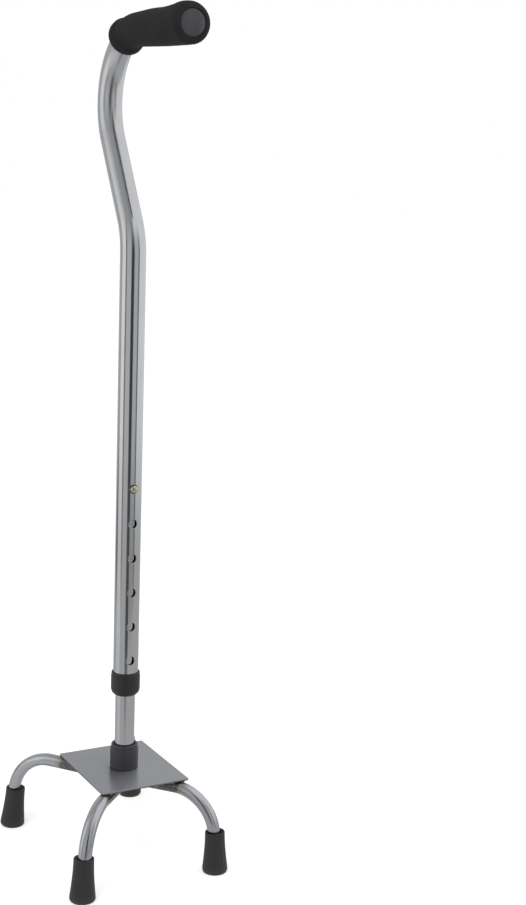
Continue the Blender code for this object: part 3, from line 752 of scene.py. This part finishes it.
def open_holes(distances, angles, radius, holes):
    """Move the grid round each hole from a square to a circle, and say which points go.

    Inside the square a point keeps its direction from the hole's centre. Its distance runs
    evenly from the hole's radius, on the ring of cells that bounds the hole, to the edge of
    the square.
    """
    gone = np.zeros(distances.shape, bool)
    inner = HOLE_CELLS / HOLE_SQUARE_CELLS
    around = np.where(angles > math.pi, angles - math.tau, angles) * radius
    moved_distance, moved_around = distances.copy(), around.copy()
    for middle in holes:
        along = distances - middle
        level = np.maximum(np.abs(along), np.abs(around)) / HOLE_SQUARE
        near = (level <= 1.0 + 1e-6) & (level > inner - 1e-6)
        straight = np.maximum(np.hypot(along, around), 1e-9)
        share = np.clip((level - inner) / (1.0 - inner), 0.0, 1.0)
        target = (1.0 - share) * HOLE_RADIUS + share * straight / np.maximum(level, 1e-9)
        moved_distance = np.where(near, middle + along / straight * target, moved_distance)
        moved_around = np.where(near, around / straight * target, moved_around)
        gone |= level < inner - 1e-6
    return moved_distance, moved_around / radius, gone


def holed_tube(name, line, radius_at, radius, wall, holes, body, spacing, sides):
    """A tube with a row of holes, whose radius is a function of the distance along it."""
    lengths, columns = tube_grid(line, radius, holes, spacing, sides)
    distances, angles = np.meshgrid(lengths, columns, indexing="ij")
    distances, angles, gone = open_holes(distances, angles, radius, holes)
    points = rings_round(line, distances, radius_at(distances), angles)
    faces = grid_faces(len(lengths), len(columns), closed=False)
    marks = grid_marks(len(lengths), len(columns), radius * math.tau / len(columns), lengths)
    kept = ~gone.reshape(-1)[faces].any(axis=-1)
    piece = make_piece(name, points, faces[kept], TUBE_CHROME, body, marks[kept])
    give_wall(piece, wall, TUBE_EDGE)
    return piece


def upper_tube_radius(distances):
    """Drawn a little thinner over the first bend, where the tool also left a faint ring."""
    bend_start = NECK_Z - UPPER_END_Z
    drawn = smooth_step((distances - bend_start) / (LOWER_BEND_RADIUS * NECK_LEAN))
    ring = np.exp(-((distances - bend_start + TOOL_RING_BELOW) / TOOL_RING_WIDTH) ** 2)
    return UPPER_RADIUS + (NECK_RADIUS - UPPER_RADIUS) * drawn - TOOL_RING_DEPTH * ring


def build_upper_tube():
    """The swan-neck tube, with its row of holes down from the one that the button is in."""
    holes = BUTTON_Z - UPPER_END_Z - np.arange(HOLE_COUNT) * HOLE_PITCH
    piece = holed_tube("swan_neck_tube", neck_line(), upper_tube_radius, UPPER_RADIUS, UPPER_WALL,
                       holes, "handle", UPPER_RING_STEP, UPPER_SIDES)
    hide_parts("upper_tube")


def build_lower_tube():
    """The inner tube, with the one hole that the snap button stands in."""
    foot = PLATE_TOP_Z + GAP
    line = Line(0.0, foot, 0.0).run(LOWER_TOP_Z - foot)
    piece = holed_tube("inner_tube", line, lambda distances: np.full(distances.shape, LOWER_RADIUS),
                       LOWER_RADIUS, LOWER_WALL, [BUTTON_Z - foot], "base", LOWER_RING_STEP,
                       LOWER_SIDES)
    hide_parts("lower_tube")


def grip_radius(distance, length):
    """Radius of the foam: rear flange, a step down to the waist, and growth to its front.

    The growth is sin(s pi / 2)^(1 / GRIP_SWELL_POWER), where s is the share of the way.
    """
    flange = smooth_step((distance - GRIP_FLANGE_LENGTH) / GRIP_FLANGE_STEP)
    share = (distance - GRIP_FLANGE_LENGTH) / (length - GRIP_SWELL_END - GRIP_FLANGE_LENGTH)
    swell = np.sin(math.pi / 2 * np.clip(share, 0.0, 1.0)) ** (1.0 / GRIP_SWELL_POWER)
    waist = GRIP_WAIST_RADIUS + (GRIP_FRONT_RADIUS - GRIP_WAIST_RADIUS) * swell
    return GRIP_FLANGE_RADIUS + (waist - GRIP_FLANGE_RADIUS) * flange


def rounded_edge(edge, inward, radius, rounding, bore, steps=14):
    """Points from the bore round a convex edge, on a circle, away from an end face."""
    centre = radius - rounding
    angle = np.linspace(math.asin((bore - centre) / rounding), math.pi / 2, steps)
    return np.stack([edge + inward * rounding * (1.0 - np.cos(angle)),
                     centre + rounding * np.sin(angle)], axis=-1)


def foam_ripple(distances, angles, radii):
    """Unevenness of the foam's outside: very low waves, and FOAM_SWELLS.

    The waves are FOAM_WAVES r sin(210 d + 2 a) sin(95 d + 3 a), at a distance d along the tube
    and an angle a round it. A swell is h (1 - (x / w)^2)^2 cos^2 b at a distance x along the
    foam from its middle and an angle b from its turn, where w is its half width and h its
    height. Both fade out at the bore.
    """
    waves = np.sin(distances * 210.0 + 2.0 * angles) * np.sin(3.0 * angles + distances * 95.0)
    relief = FOAM_WAVES * radii * waves
    for middle, half, height, turn in FOAM_SWELLS:
        along = np.clip((distances - grip_rear() - middle) / half, -1.0, 1.0)
        relief += height * (1.0 - along ** 2) ** 2 * np.clip(np.cos(angles - turn), 0.0, 1.0) ** 2
    return relief * smooth_step((radii - NECK_RADIUS - GAP) / FOAM_FACE)


def grip_rear():
    """Distance along the neck's line at which the foam begins."""
    return neck_line().length + PLUG_DISC + GAP - HANDLE_RUN - GRIP_ON_BEND


def build_grip():
    """A foam sleeve with rounded ends and an even bore."""
    line = neck_line()
    rear = grip_rear()
    length = GRIP_ON_BEND + HANDLE_RUN
    bore = NECK_RADIUS + GAP
    rear_edge = rounded_edge(rear, 1, GRIP_FLANGE_RADIUS, GRIP_REAR_ROUNDING, bore)
    front_edge = rounded_edge(rear + length, -1, GRIP_FRONT_RADIUS, GRIP_FRONT_ROUNDING, bore)
    middle = np.arange(GRIP_REAR_ROUNDING + MM, length - GRIP_FRONT_ROUNDING, GRIP_RING_STEP)
    outside = np.stack([rear + middle, grip_radius(middle, length)], axis=-1)
    inside = np.linspace(front_edge[0, 0] - MM, rear_edge[0, 0] + MM, GRIP_BORE_RINGS)
    inside = np.stack([inside, np.full(GRIP_BORE_RINGS, bore)], axis=-1)
    outline = np.concatenate([rear_edge, outside, front_edge[::-1], inside])
    piece = turned_piece("foam_sleeve", line, outline, FOAM, "handle", GRIP_SIDES, foam_ripple)
    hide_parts("foam_grip")


def build_grip_plug():
    """A domed disc over the tube's mouth, on a spigot inside it.

    The dome sinks by PLUG_DOME (r / R)^2 from its middle to its rim.
    """
    line = neck_line()
    face = line.length + GAP
    rim = face + PLUG_TOP - PLUG_DOME
    shares = np.linspace(0.9, 0.0, 16)
    spigot = NECK_RADIUS - UPPER_WALL - GAP
    corners = [
        (face - PLUG_SPIGOT, 0.0, 0.0),
        (face - PLUG_SPIGOT, spigot - PLUG_SPIGOT_TAPER, 0.3 * MM),
        (face - PLUG_SPIGOT_STRAIGHT, spigot, 0.3 * MM),
        (face, spigot, 0.0),
        (face, PLUG_RADIUS, 0.3 * MM),
        (rim, PLUG_RADIUS, 0.4 * MM),
        (rim + PLUG_DOME * (1.0 - shares[0] ** 2), PLUG_RADIUS * shares[0], 0.0),
    ]
    dome = np.column_stack([rim + PLUG_DOME * (1.0 - shares ** 2), PLUG_RADIUS * shares])[1:]
    outline = np.concatenate([rounded(corners), dome])
    piece = turned_piece("end_plug", line, outline, GREY_PLASTIC, "handle")
    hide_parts("grip_end_plug")


def build_collar():
    """A skirt outside the upper tube and a sleeve inside it, joined under the tube's end."""
    outside, inside = UPPER_RADIUS + GAP, UPPER_RADIUS - UPPER_WALL - GAP
    bore = LOWER_RADIUS + GAP
    web = UPPER_END_Z - GAP
    bottom, top = COLLAR_BOTTOM_Z, COLLAR_TOP_Z
    corners = [(bottom + COLLAR_LIP, bore, 0.0), (bottom, bore, 0.3 * MM)]
    corners += [(bottom + up, COLLAR_RADIUS - inward, rounding)
                for up, inward, rounding in COLLAR_BOTTOM_END]
    corners += [(top - down, COLLAR_RADIUS - inward, rounding)
                for down, inward, rounding in COLLAR_TOP_END]
    corners += [
        (top, outside, 0.3 * MM),
        (web, outside, 0.0),
        (web, inside, 0.0),
        (top - SLEEVE_LENGTH_INSIDE, inside, 0.0),
        (top - SLEEVE_LENGTH_INSIDE, bore, 0.0),
        (bottom + COLLAR_LIP, bore, 0.0),
    ]
    piece = turned_piece("collar", upright(), rounded(corners)[:-1], BLACK_PLASTIC, "handle")
    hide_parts("upper_collar")


def build_bush():
    """A skirt outside the stub and a sleeve inside it, joined over the stub's top."""
    outside, inside = UPPER_RADIUS + GAP, UPPER_RADIUS - UPPER_WALL - GAP
    bore = LOWER_RADIUS + GAP
    foot, top = PLATE_TOP_Z + GAP, BUSH_TOP_Z
    corners = [
        (top - SLEEVE_LENGTH_INSIDE, bore, 0.0),
        (foot + SLEEVE_LENGTH_INSIDE, bore, 0.0),
        (foot + SLEEVE_LENGTH_INSIDE, inside, 0.0),
        (top - BUSH_WEB, inside, 0.0),
        (top - BUSH_WEB, outside, 0.0),
        (foot, outside, 0.0),
        (foot, BUSH_RADIUS, 0.5 * MM),
    ]
    corners += [(top - down, BUSH_RADIUS - inward, rounding)
                for down, inward, rounding in BUSH_TOP_END]
    corners += [
        (top, LOWER_RADIUS + BUSH_MOUTH_WIDER, 0.5 * MM),
        (top - BUSH_MOUTH_DEPTH, bore, 0.4 * MM),
        (top - SLEEVE_LENGTH_INSIDE, bore, 0.0),
    ]
    piece = turned_piece("bush", upright(), rounded(corners)[:-1], BUSH_PLASTIC, "base")
    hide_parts("socket_bush")


def build_button():
    """A domed pin with a flange behind the lower tube's wall."""
    line = Line(0.0, BUTTON_Z, math.pi / 2).run(BUTTON_TOP)
    corners = [
        (BUTTON_FLANGE_BACK, 0.0, 0.0),
        (BUTTON_FLANGE_BACK, BUTTON_FLANGE_RADIUS, 0.1 * MM),
        (BUTTON_FLANGE_FRONT, BUTTON_FLANGE_RADIUS, 0.1 * MM),
        (BUTTON_FLANGE_FRONT, BUTTON_RADIUS, 0.0),
        (BUTTON_TOP - BUTTON_DOME, BUTTON_RADIUS, 0.0),
    ]
    turn = np.linspace(0.0, math.pi / 2, 17)[1:]
    dome = np.column_stack([BUTTON_TOP - BUTTON_DOME * (1.0 - np.sin(turn)),
                            BUTTON_RADIUS * np.cos(turn)])
    dome[-1, 1] = 0.0
    outline = np.concatenate([rounded(corners), dome])
    piece = turned_piece("locking_button", line, outline, BRASS, "button", 48)
    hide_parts("snap_button")


def plate_rim(per_side=30, per_corner=6):
    """A rounded rectangle's arc centres, and the unit spokes from them to its outline."""
    half = np.array([PLATE_LENGTH / 2, PLATE_WIDTH / 2]) - PLATE_CORNER
    turns = np.linspace(0.0, math.pi / 2, per_corner + 1)
    centres, spokes = [], []
    for quarter, signs in enumerate(((1, 1), (-1, 1), (-1, -1), (1, -1))):
        turn = turns + quarter * math.pi / 2
        spoke = np.stack([np.cos(turn), np.sin(turn)], axis=-1)
        centre = np.repeat([half * signs], per_corner + 1, axis=0)
        after = half * ((-1, 1), (-1, -1), (1, -1), (1, 1))[quarter]
        share = np.linspace(0.0, 1.0, per_side + 1)[1:-1, None]
        centres += [centre, centre[-1] * (1 - share) + after * share]
        spokes += [spoke, np.repeat(spoke[-1:], per_side - 1, axis=0)]
    centres, spokes = np.concatenate(centres), np.concatenate(spokes)
    return centres @ PLATE_AXES + PLATE_MIDDLE, spokes @ PLATE_AXES


def plate_marks(mesh):
    """Texture places of the plate: where its points are, seen from above."""
    corners = np.empty(len(mesh.loops), np.int32)
    mesh.loops.foreach_get("vertex_index", corners)
    places = np.empty(len(mesh.vertices) * 3, np.float32)
    mesh.vertices.foreach_get("co", places)
    return places.reshape(-1, 3)[corners, :2]


def build_plate():
    """Loops from the bolt's hole out under the plate, round its rim and back to the hole.

    A value for painted shade goes from 0 at the top of the rim to 1 at its bottom.
    """
    centres, spokes = plate_rim()
    outline = centres + spokes * PLATE_CORNER
    hole = outline / np.linalg.norm(outline, axis=1)[:, None] * PLATE_HOLE_RADIUS
    bottom = PLATE_TOP_Z - PLATE_THICKNESS
    turns = np.linspace(0.0, math.pi / 2, 4)
    inward = PLATE_EDGE * (1.0 - np.sin(turns))
    upward = PLATE_EDGE * (1.0 - np.cos(turns))
    flat = PLATE_EDGE * 2
    levels = [(bottom, None), (bottom, flat)]
    levels += [(bottom + up, inside) for up, inside in zip(upward, inward)]
    levels += [(PLATE_TOP_Z - up, inside) for up, inside in zip(upward[::-1], inward[::-1])]
    levels += [(PLATE_TOP_Z, flat), (PLATE_TOP_Z, None)]
    loops = [np.column_stack([hole if inside is None else outline - spokes * inside,
                              np.full(len(hole), height)]) for height, inside in levels]
    piece = ring_piece("plate", np.array(loops), PLATE_CHROME, "base")
    set_marks(piece.data, plate_marks(piece.data))
    # Painted shade on the rim, from none at its top to full at its bottom.
    rim_shade = [0.0 if inside in (None, flat) else (PLATE_TOP_Z - height) / PLATE_THICKNESS
               for height, inside in levels]
    set_values(piece.data, "rim_shade", np.repeat(rim_shade, len(hole)))
    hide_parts("base_plate")


def under_plate(points):
    """How far points lie inside the plate's outline, less than 0 where they are beyond it."""
    flat = np.abs((points[..., :2] - PLATE_MIDDLE) @ PLATE_AXES.T)
    return (np.array([PLATE_LENGTH / 2, PLATE_WIDTH / 2]) - flat).min(axis=-1)


def plate_edge_distance(line):
    """Distance along a leg at which its axis comes out from under the plate."""
    distances = np.linspace(0.0, line.length, 4001)
    inside = under_plate(line.at(distances)[0])
    return float(distances[np.argmax(inside < 0.0)])


def bend_share(line, distances):
    """1 inside a line's bends and 0 on its straight runs, with soft changes between."""
    share = np.zeros_like(distances)
    ends = [knot[0] for knot in line.knots[1:]]
    for (start, _, _, _, curvature), end in zip(line.knots, ends):
        if curvature:
            edge = LEG_RADIUS * 2
            share += smooth_step((distances - start) / edge) * smooth_step((end - distances) / edge)
    return share


def leg_tube(place, line, lengths):
    """A tube through rings at these lengths, with marks along it for its drawn streaks.

    Bending makes it wider across the bend and thinner in it: its radius is
    r (1 - f cos 2a) there, with f = LEG_FLATTENING and the angle a from the bend's plane.
    """
    distances = np.repeat(lengths[:, None], LEG_SIDES, axis=1)
    angles = np.broadcast_to(once_round(LEG_SIDES), distances.shape)
    flat = 1.0 - LEG_FLATTENING * bend_share(line, distances) * np.cos(2.0 * angles)
    points = rings_round(line, distances, LEG_RADIUS * flat, angles)
    faces = grid_faces(len(lengths), LEG_SIDES, closed=False)
    marks = grid_marks(len(lengths), LEG_SIDES, LEG_RADIUS * math.tau / LEG_SIDES, lengths)
    piece = make_piece("bent_leg_" + place, points, faces, LEG_CHROME, "base", marks)
    give_wall(piece, LEG_WALL)
    return piece


def build_leg(place):
    """A bent tube, tinted brown by welding and darkened as painted shade, under the plate and where
    it leaves the plate.

    The tint is full on a stretch as long as a weld, which ends WELD_HEAT_AND_SHADE_END before the
    leg leaves the plate. It falls off as exp(-d / WELD_HEAT_AND_SHADE_REACH) beyond it.
    """
    line = leg_line(*LEGS[place])
    last = line.length - TIP_POCKET - 2 * GAP - TIP_WASHER
    lengths = np.linspace(0.0, last, math.ceil(last / LEG_RING_STEP) + 1)
    piece = leg_tube(place, line, lengths)
    edge = plate_edge_distance(line) - WELD_HEAT_AND_SHADE_END
    beyond = np.maximum(lengths - edge, edge - WELD_LENGTH - lengths)
    # Full welding tint and painted shade under the plate, fading beyond its edge.
    heat_and_shade = np.exp(-np.maximum(beyond, 0.0) / WELD_HEAT_AND_SHADE_REACH)
    set_values(piece.data, "weld_heat_and_shade", np.repeat(heat_and_shade, LEG_SIDES))
    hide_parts("leg_" + place)


def build_welds(place):
    """A bead on each side of a leg, in the corner between the leg and the plate's underside.

    A bead is a round rod whose radius swells and shrinks like drops laid one on another, as
    r (1 + k |sin(pi d / pitch)|). It ends in points, WELD_END inside the plate, because its
    radius also follows sqrt(1 - s^8), where s goes from -1 to 1 along it.
    """
    leg = leg_line(*LEGS[place])
    share = np.linspace(-1.0, 1.0, WELD_RINGS)
    ends = np.sqrt(np.clip(1.0 - np.abs(share) ** 8, 0.0, 1.0))
    angles = once_round(WELD_SIDES)
    along = np.linspace(0.0, leg.length, 2001)
    for hand, aside in (("left", 1.0), ("right", -1.0)):
        offset = leg.across * aside * WELD_ASIDE + np.array([0.0, 0.0, WELD_ABOVE])
        inside = under_plate(leg.at(along)[0] + offset) > WELD_END
        last = along[np.argmin(inside)]
        distances = last - WELD_LENGTH * (1.0 - share) / 2
        distances = np.maximum(distances, 0.0)
        drops = 1.0 + WELD_DROPS * np.abs(np.sin(math.pi * distances / WELD_PITCH))
        radii = (WELD_RADIUS * ends * drops)[:, None, None]
        around = (np.cos(angles)[:, None] * leg.across
                  + np.sin(angles)[:, None] * np.array([0.0, 0.0, 1.0]))
        rings = (leg.at(distances)[0] + offset)[:, None, :] + radii * around
        rings[..., 2] = np.minimum(rings[..., 2], PLATE_TOP_Z - PLATE_THICKNESS)
        piece = ring_piece("weld_" + place + "_" + hand, rings, WELD_METAL, "base", has_poles=True)


def tip_outline():
    """Heights and radii of a tip, from the middle of its sole up to the dish of its mouth.

    Above its widest ring the radius is R + (r - R)(1 - (1 - s)^p), where s is the share of
    the way up to the neck.
    """
    sole, deep, slope = -TIP_SOLE_SINK, TIP_GROOVE_DEPTH, TIP_GROOVE_SLOPE
    bottom = rounded([
        (sole, 0.0, 0.0),
        (sole, TIP_GROOVE_INNER, 0.2 * MM),
        (deep, TIP_GROOVE_INNER + slope, 0.2 * MM),
        (deep, TIP_GROOVE_OUTER - slope, 0.2 * MM),
        (sole, TIP_GROOVE_OUTER, 0.2 * MM),
        (sole, TIP_SOLE_RADIUS, 0.0),
    ], 3)
    turn = np.linspace(0.0, math.pi / 2, 9)
    foot = np.column_stack([TIP_WIDEST * (1.0 - np.cos(turn)),
                            TIP_SOLE_RADIUS + (TIP_RADIUS - TIP_SOLE_RADIUS) * np.sin(turn)])
    share = np.linspace(0.0, 1.0, 25)[1:]
    narrowing = 1.0 - (1.0 - share) ** TIP_FLARE_POWER
    heights = TIP_WIDEST + (TIP_NECK - TIP_WIDEST) * share
    seam = TIP_SEAM_HEIGHT * np.exp(-((heights - TIP_SEAM_Z) / TIP_SEAM_WIDTH) ** 2)
    flare = np.column_stack([heights,
                             TIP_RADIUS + (TIP_NECK_RADIUS - TIP_RADIUS) * narrowing + seam])
    mouth = rounded([
        (TIP_NECK, TIP_NECK_RADIUS, 0.0),
        (TIP_HEIGHT - TIP_TOP_DROP, TIP_NECK_RADIUS - TIP_TOP_TAPER, 1.0 * MM),
        (TIP_HEIGHT, TIP_MOUTH_RADIUS, 0.5 * MM),
        (TIP_HEIGHT - TIP_DISH_DROP, TIP_MOUTH_RADIUS - TIP_DISH_INWARD, 0.0),
    ])
    return np.concatenate([bottom, foot, flare, mouth[1:]])


def build_tip(place):
    """A rubber tip that leans on its own axis, with the leg's end in its pocket.

    Shallow flutes follow cos(n a) - 1 round it, where n is their number, and fade out
    upwards. What would lie under the floor is pressed up to it.
    """
    x, y, lean_x, lean_y = TIPS[place]
    axis = Vector((math.tan(math.radians(lean_x)), math.tan(math.radians(lean_y)), 1.0))
    turned = np.array(Vector((0.0, 0.0, 1.0)).rotation_difference(axis).to_matrix())
    heights, radii, angles = spun(tip_outline(), TIP_SIDES)
    fade = smooth_step(heights / TIP_WIDEST) * (1.0 - smooth_step(heights / TIP_NECK))
    radii = radii + TIP_FLUTE_DEPTH * (np.cos(TIP_FLUTES * angles) - 1.0) * fade
    outside = rings_round(upright(), heights, radii, angles) @ turned.T + (x, y, 0.0)
    outside[..., 2] = np.maximum(outside[..., 2], 0.0)
    leg = leg_line(*LEGS[place])
    _, reach, height, heading, _ = leg.knots[-1]
    azimuth = math.radians(LEGS[place][0])
    stem = Line(reach, height, heading - math.pi, azimuth, LEGS[place][1]).run(TIP_HEIGHT)
    depths, bore, round_stem = spun(np.array([
        (TIP_HEIGHT - TIP_MOUTH_DEPTH, LEG_RADIUS + GAP),
        (TIP_POCKET + TIP_POCKET_CORNER, LEG_RADIUS + GAP),
        (TIP_POCKET, LEG_RADIUS + GAP),
        (TIP_POCKET, 0.0),
    ]), TIP_SIDES)
    inside = rings_round(stem, depths, bore, round_stem - azimuth)
    rings = np.concatenate([outside, inside])
    piece = ring_piece("rubber_" + place, rings, RUBBER, "base", has_poles=True)
    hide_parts("tip_" + place)


def place_camera():
    """Stand the camera where the photograph was taken, turned as it was."""
    ahead = Vector((math.sin(CAMERA_YAW) * math.cos(CAMERA_PITCH),
                    math.cos(CAMERA_YAW) * math.cos(CAMERA_PITCH), -math.sin(CAMERA_PITCH)))
    level = Vector((math.cos(CAMERA_YAW), -math.sin(CAMERA_YAW), 0.0))
    over = level.cross(ahead)
    right = level * math.cos(CAMERA_ROLL) + over * math.sin(CAMERA_ROLL)
    up = over * math.cos(CAMERA_ROLL) - level * math.sin(CAMERA_ROLL)
    turned = Matrix.Rotation(math.pi / 2 + CAMERA_SIDE, 4, "Z")
    axes = Matrix((right, up, -ahead)).transposed().to_4x4()
    camera = add_object("camera", bpy.data.cameras.new("camera"))
    camera.data.sensor_width = SENSOR_MM
    camera.data.lens = CAMERA_LENS_MM
    stand = Vector((0.0, -CAMERA_DISTANCE, CAMERA_HEIGHT))
    camera.matrix_world = (Matrix.Translation(Vector(POLE)) @ turned
                           @ Matrix.Translation(stand) @ axes)
    bpy.context.scene.camera = camera


def panel_cover(angles, first, last, edge):
    """1 between two angles and 0 beyond them, with edges of a given width."""
    return smooth_step((angles - first) / edge + 0.5) * smooth_step((last - angles) / edge + 0.5)


def studio_profile():
    """Radius, height and plain tone from the floor's middle up to the ceiling's.

    The wall's tone comes in from the floor's over STUDIO_CORNER, and goes over to the
    ceiling's over STUDIO_DIMMER.
    """
    share = np.linspace(0.0, 1.0, STUDIO_ROWS)
    inwards = np.linspace(1.0, 0.0, CEILING_ROWS)
    low = smooth_step(share * STUDIO_HEIGHT / STUDIO_CORNER)
    high = smooth_step((1.0 - share) * STUDIO_HEIGHT / STUDIO_DIMMER)
    plain = FLOOR_TONE + (WALL_TONE - FLOOR_TONE) * low + (CEILING_TONE - WALL_TONE) * (1.0 - high)
    outwards = np.concatenate([share, np.ones(STUDIO_ROWS - 1), inwards[1:]])
    upwards = np.concatenate([np.zeros(STUDIO_ROWS), share[1:], np.ones(CEILING_ROWS - 1)])
    tones = np.concatenate([np.full(STUDIO_ROWS, FLOOR_TONE), plain[1:],
                            np.full(CEILING_ROWS - 1, CEILING_TONE)])
    return np.column_stack([outwards * STUDIO_RADIUS, STUDIO_FLOOR_Z + upwards * STUDIO_HEIGHT,
                            tones])


def panel_strength(panel, radii, heights):
    """How strongly a panel shows at a point of the floor, the wall or the ceiling.

    It goes from its strength on the floor to the one on the wall over STUDIO_CORNER, and to
    the one beside the ceiling over STUDIO_DIMMER. On the ceiling it fades out to the middle.
    """
    low = smooth_step(heights / STUDIO_CORNER)
    high = smooth_step((STUDIO_HEIGHT - heights) / STUDIO_DIMMER)
    wall = low * (panel.ceiling + (panel.wall - panel.ceiling) * high)
    reach = (radii - panel.floor_begins) / (panel.floor_full - panel.floor_begins)
    floor = (1.0 - low) * panel.floor * smooth_step(reach)
    middle = smooth_step(radii / (0.4 * STUDIO_RADIUS))
    return (wall + floor) * np.where(heights > STUDIO_CORNER, middle, 1.0)


def build_studio():
    """The studio's floor, wall and ceiling as one turned surface, lit by its own tones."""
    profile = studio_profile()
    angles = np.linspace(0.0, 360.0, 361)
    rows, columns = len(profile), len(angles)
    radii, heights, tone = [np.repeat(profile[:, i:i + 1], columns, axis=1) for i in range(3)]
    seen = np.broadcast_to((angles + 180.0) % 360.0 - 180.0, radii.shape)
    for panel in PANELS:
        cover = panel_cover(seen, panel.first, panel.last, panel.edge)
        tone = tone + (panel.brightness - tone) * panel_strength(panel, radii, heights) * cover
    around = CAMERA_SIDE + np.radians(angles)
    points = np.stack([radii * np.cos(around), radii * np.sin(around), heights], axis=-1) + POLE
    faces = grid_faces(rows, columns, closed=False)[:, :-1]
    mesh = bpy.data.meshes.new("studio")
    mesh.from_pydata(points.reshape(-1, 3).tolist(), [], faces.reshape(-1, 4).tolist())
    set_values(mesh, "glow", tone)
    mesh.materials.append(glow_material())
    studio = add_object("studio", mesh)
    studio.visible_camera = False
    studio.visible_diffuse = False
    studio.visible_shadow = False


def cleared_nodes(owner):
    """The nodes and links of a material or a world, with nothing in them yet."""
    owner.use_nodes = True
    owner.node_tree.nodes.clear()
    return owner.node_tree.nodes, owner.node_tree.links


def glow_material():
    """A surface as bright as its tone says."""
    material = bpy.data.materials.new("studio")
    nodes, links = cleared_nodes(material)
    tone = nodes.new("ShaderNodeAttribute")
    tone.attribute_name = "glow"
    glow = nodes.new("ShaderNodeEmission")
    links.new(tone.outputs["Fac"], glow.inputs["Strength"])
    output = nodes.new("ShaderNodeOutputMaterial")
    links.new(glow.outputs[0], output.inputs["Surface"])
    material.cycles.emission_sampling = "NONE"
    return material


def mix_for_looks(nodes, links, plain, shown, output):
    """Use one shader for light on the object, and another for what a lens or gloss sees."""
    path = nodes.new("ShaderNodeLightPath")
    seen = path.outputs["Is Camera Ray"]
    for other in ("Is Glossy Ray", "Is Transmission Ray"):
        most = nodes.new("ShaderNodeMath")
        most.operation = "MAXIMUM"
        links.new(seen, most.inputs[0])
        links.new(path.outputs[other], most.inputs[1])
        seen = most.outputs[0]
    mix = nodes.new("ShaderNodeMixShader")
    links.new(seen, mix.inputs[0])
    links.new(plain.outputs[0], mix.inputs[1])
    links.new(shown.outputs[0], mix.inputs[2])
    links.new(mix.outputs[0], output.inputs["Surface"])


def light_world():
    """An even sky that lights the cane, and looks white."""
    world = bpy.data.worlds.new("studio")
    bpy.context.scene.world = world
    nodes, links = cleared_nodes(world)
    plain, white = [nodes.new("ShaderNodeBackground") for _ in range(2)]
    for sky, strength in ((plain, WORLD_LIGHT), (white, 1.0)):
        sky.inputs["Color"].default_value = (1.0, 1.0, 1.0, 1.0)
        sky.inputs["Strength"].default_value = strength
    mix_for_looks(nodes, links, plain, white, nodes.new("ShaderNodeOutputWorld"))


def build_floor():
    """A wide pale floor whose own colour keeps the shadow."""
    size = FLOOR_HALF_SIZE
    mesh = bpy.data.meshes.new("floor")
    corners = [(-size, -size, 0.0), (size, -size, 0.0), (size, size, 0.0), (-size, size, 0.0)]
    mesh.from_pydata(corners, [], [(0, 1, 2, 3)])
    material = bpy.data.materials.new("floor")
    nodes, links = cleared_nodes(material)
    plain = nodes.new("ShaderNodeBsdfDiffuse")
    plain.inputs["Color"].default_value = (*FLOOR_COLOUR, 1.0)
    lift = nodes.new("ShaderNodeEmission")
    lift.inputs["Strength"].default_value = FLOOR_LIFT
    shown = nodes.new("ShaderNodeAddShader")
    links.new(plain.outputs[0], shown.inputs[0])
    links.new(lift.outputs[0], shown.inputs[1])
    mix_for_looks(nodes, links, plain, shown, nodes.new("ShaderNodeOutputMaterial"))
    material.cycles.emission_sampling = "NONE"
    mesh.materials.append(material)
    floor = add_object("floor", mesh)


def add_lamp(name, place, power):
    """A square soft lamp that faces the middle of the cane."""
    light = bpy.data.lights.new(name, "AREA")
    light.size = LAMP_SIZE
    light.energy = power
    lamp = add_object(name, light)
    lamp.location = place
    lamp.rotation_mode = "QUATERNION"
    lamp.rotation_quaternion = (lamp.location - LAMPS_FACE).to_track_quat("Z", "Y")
    lamp.visible_glossy = False


finish_solids()
build_upper_tube()
build_lower_tube()
build_grip()
build_grip_plug()
build_collar()
build_bush()
build_button()
build_plate()
for leg_place in LEGS:
    build_leg(leg_place)
    build_welds(leg_place)
    build_tip(leg_place)

place_camera()
build_studio()
build_floor()
light_world()
for lamp_name, (lamp_place, lamp_power) in LAMPS.items():
    add_lamp(lamp_name, lamp_place, lamp_power)
bpy.context.scene.view_settings.view_transform = "Standard"
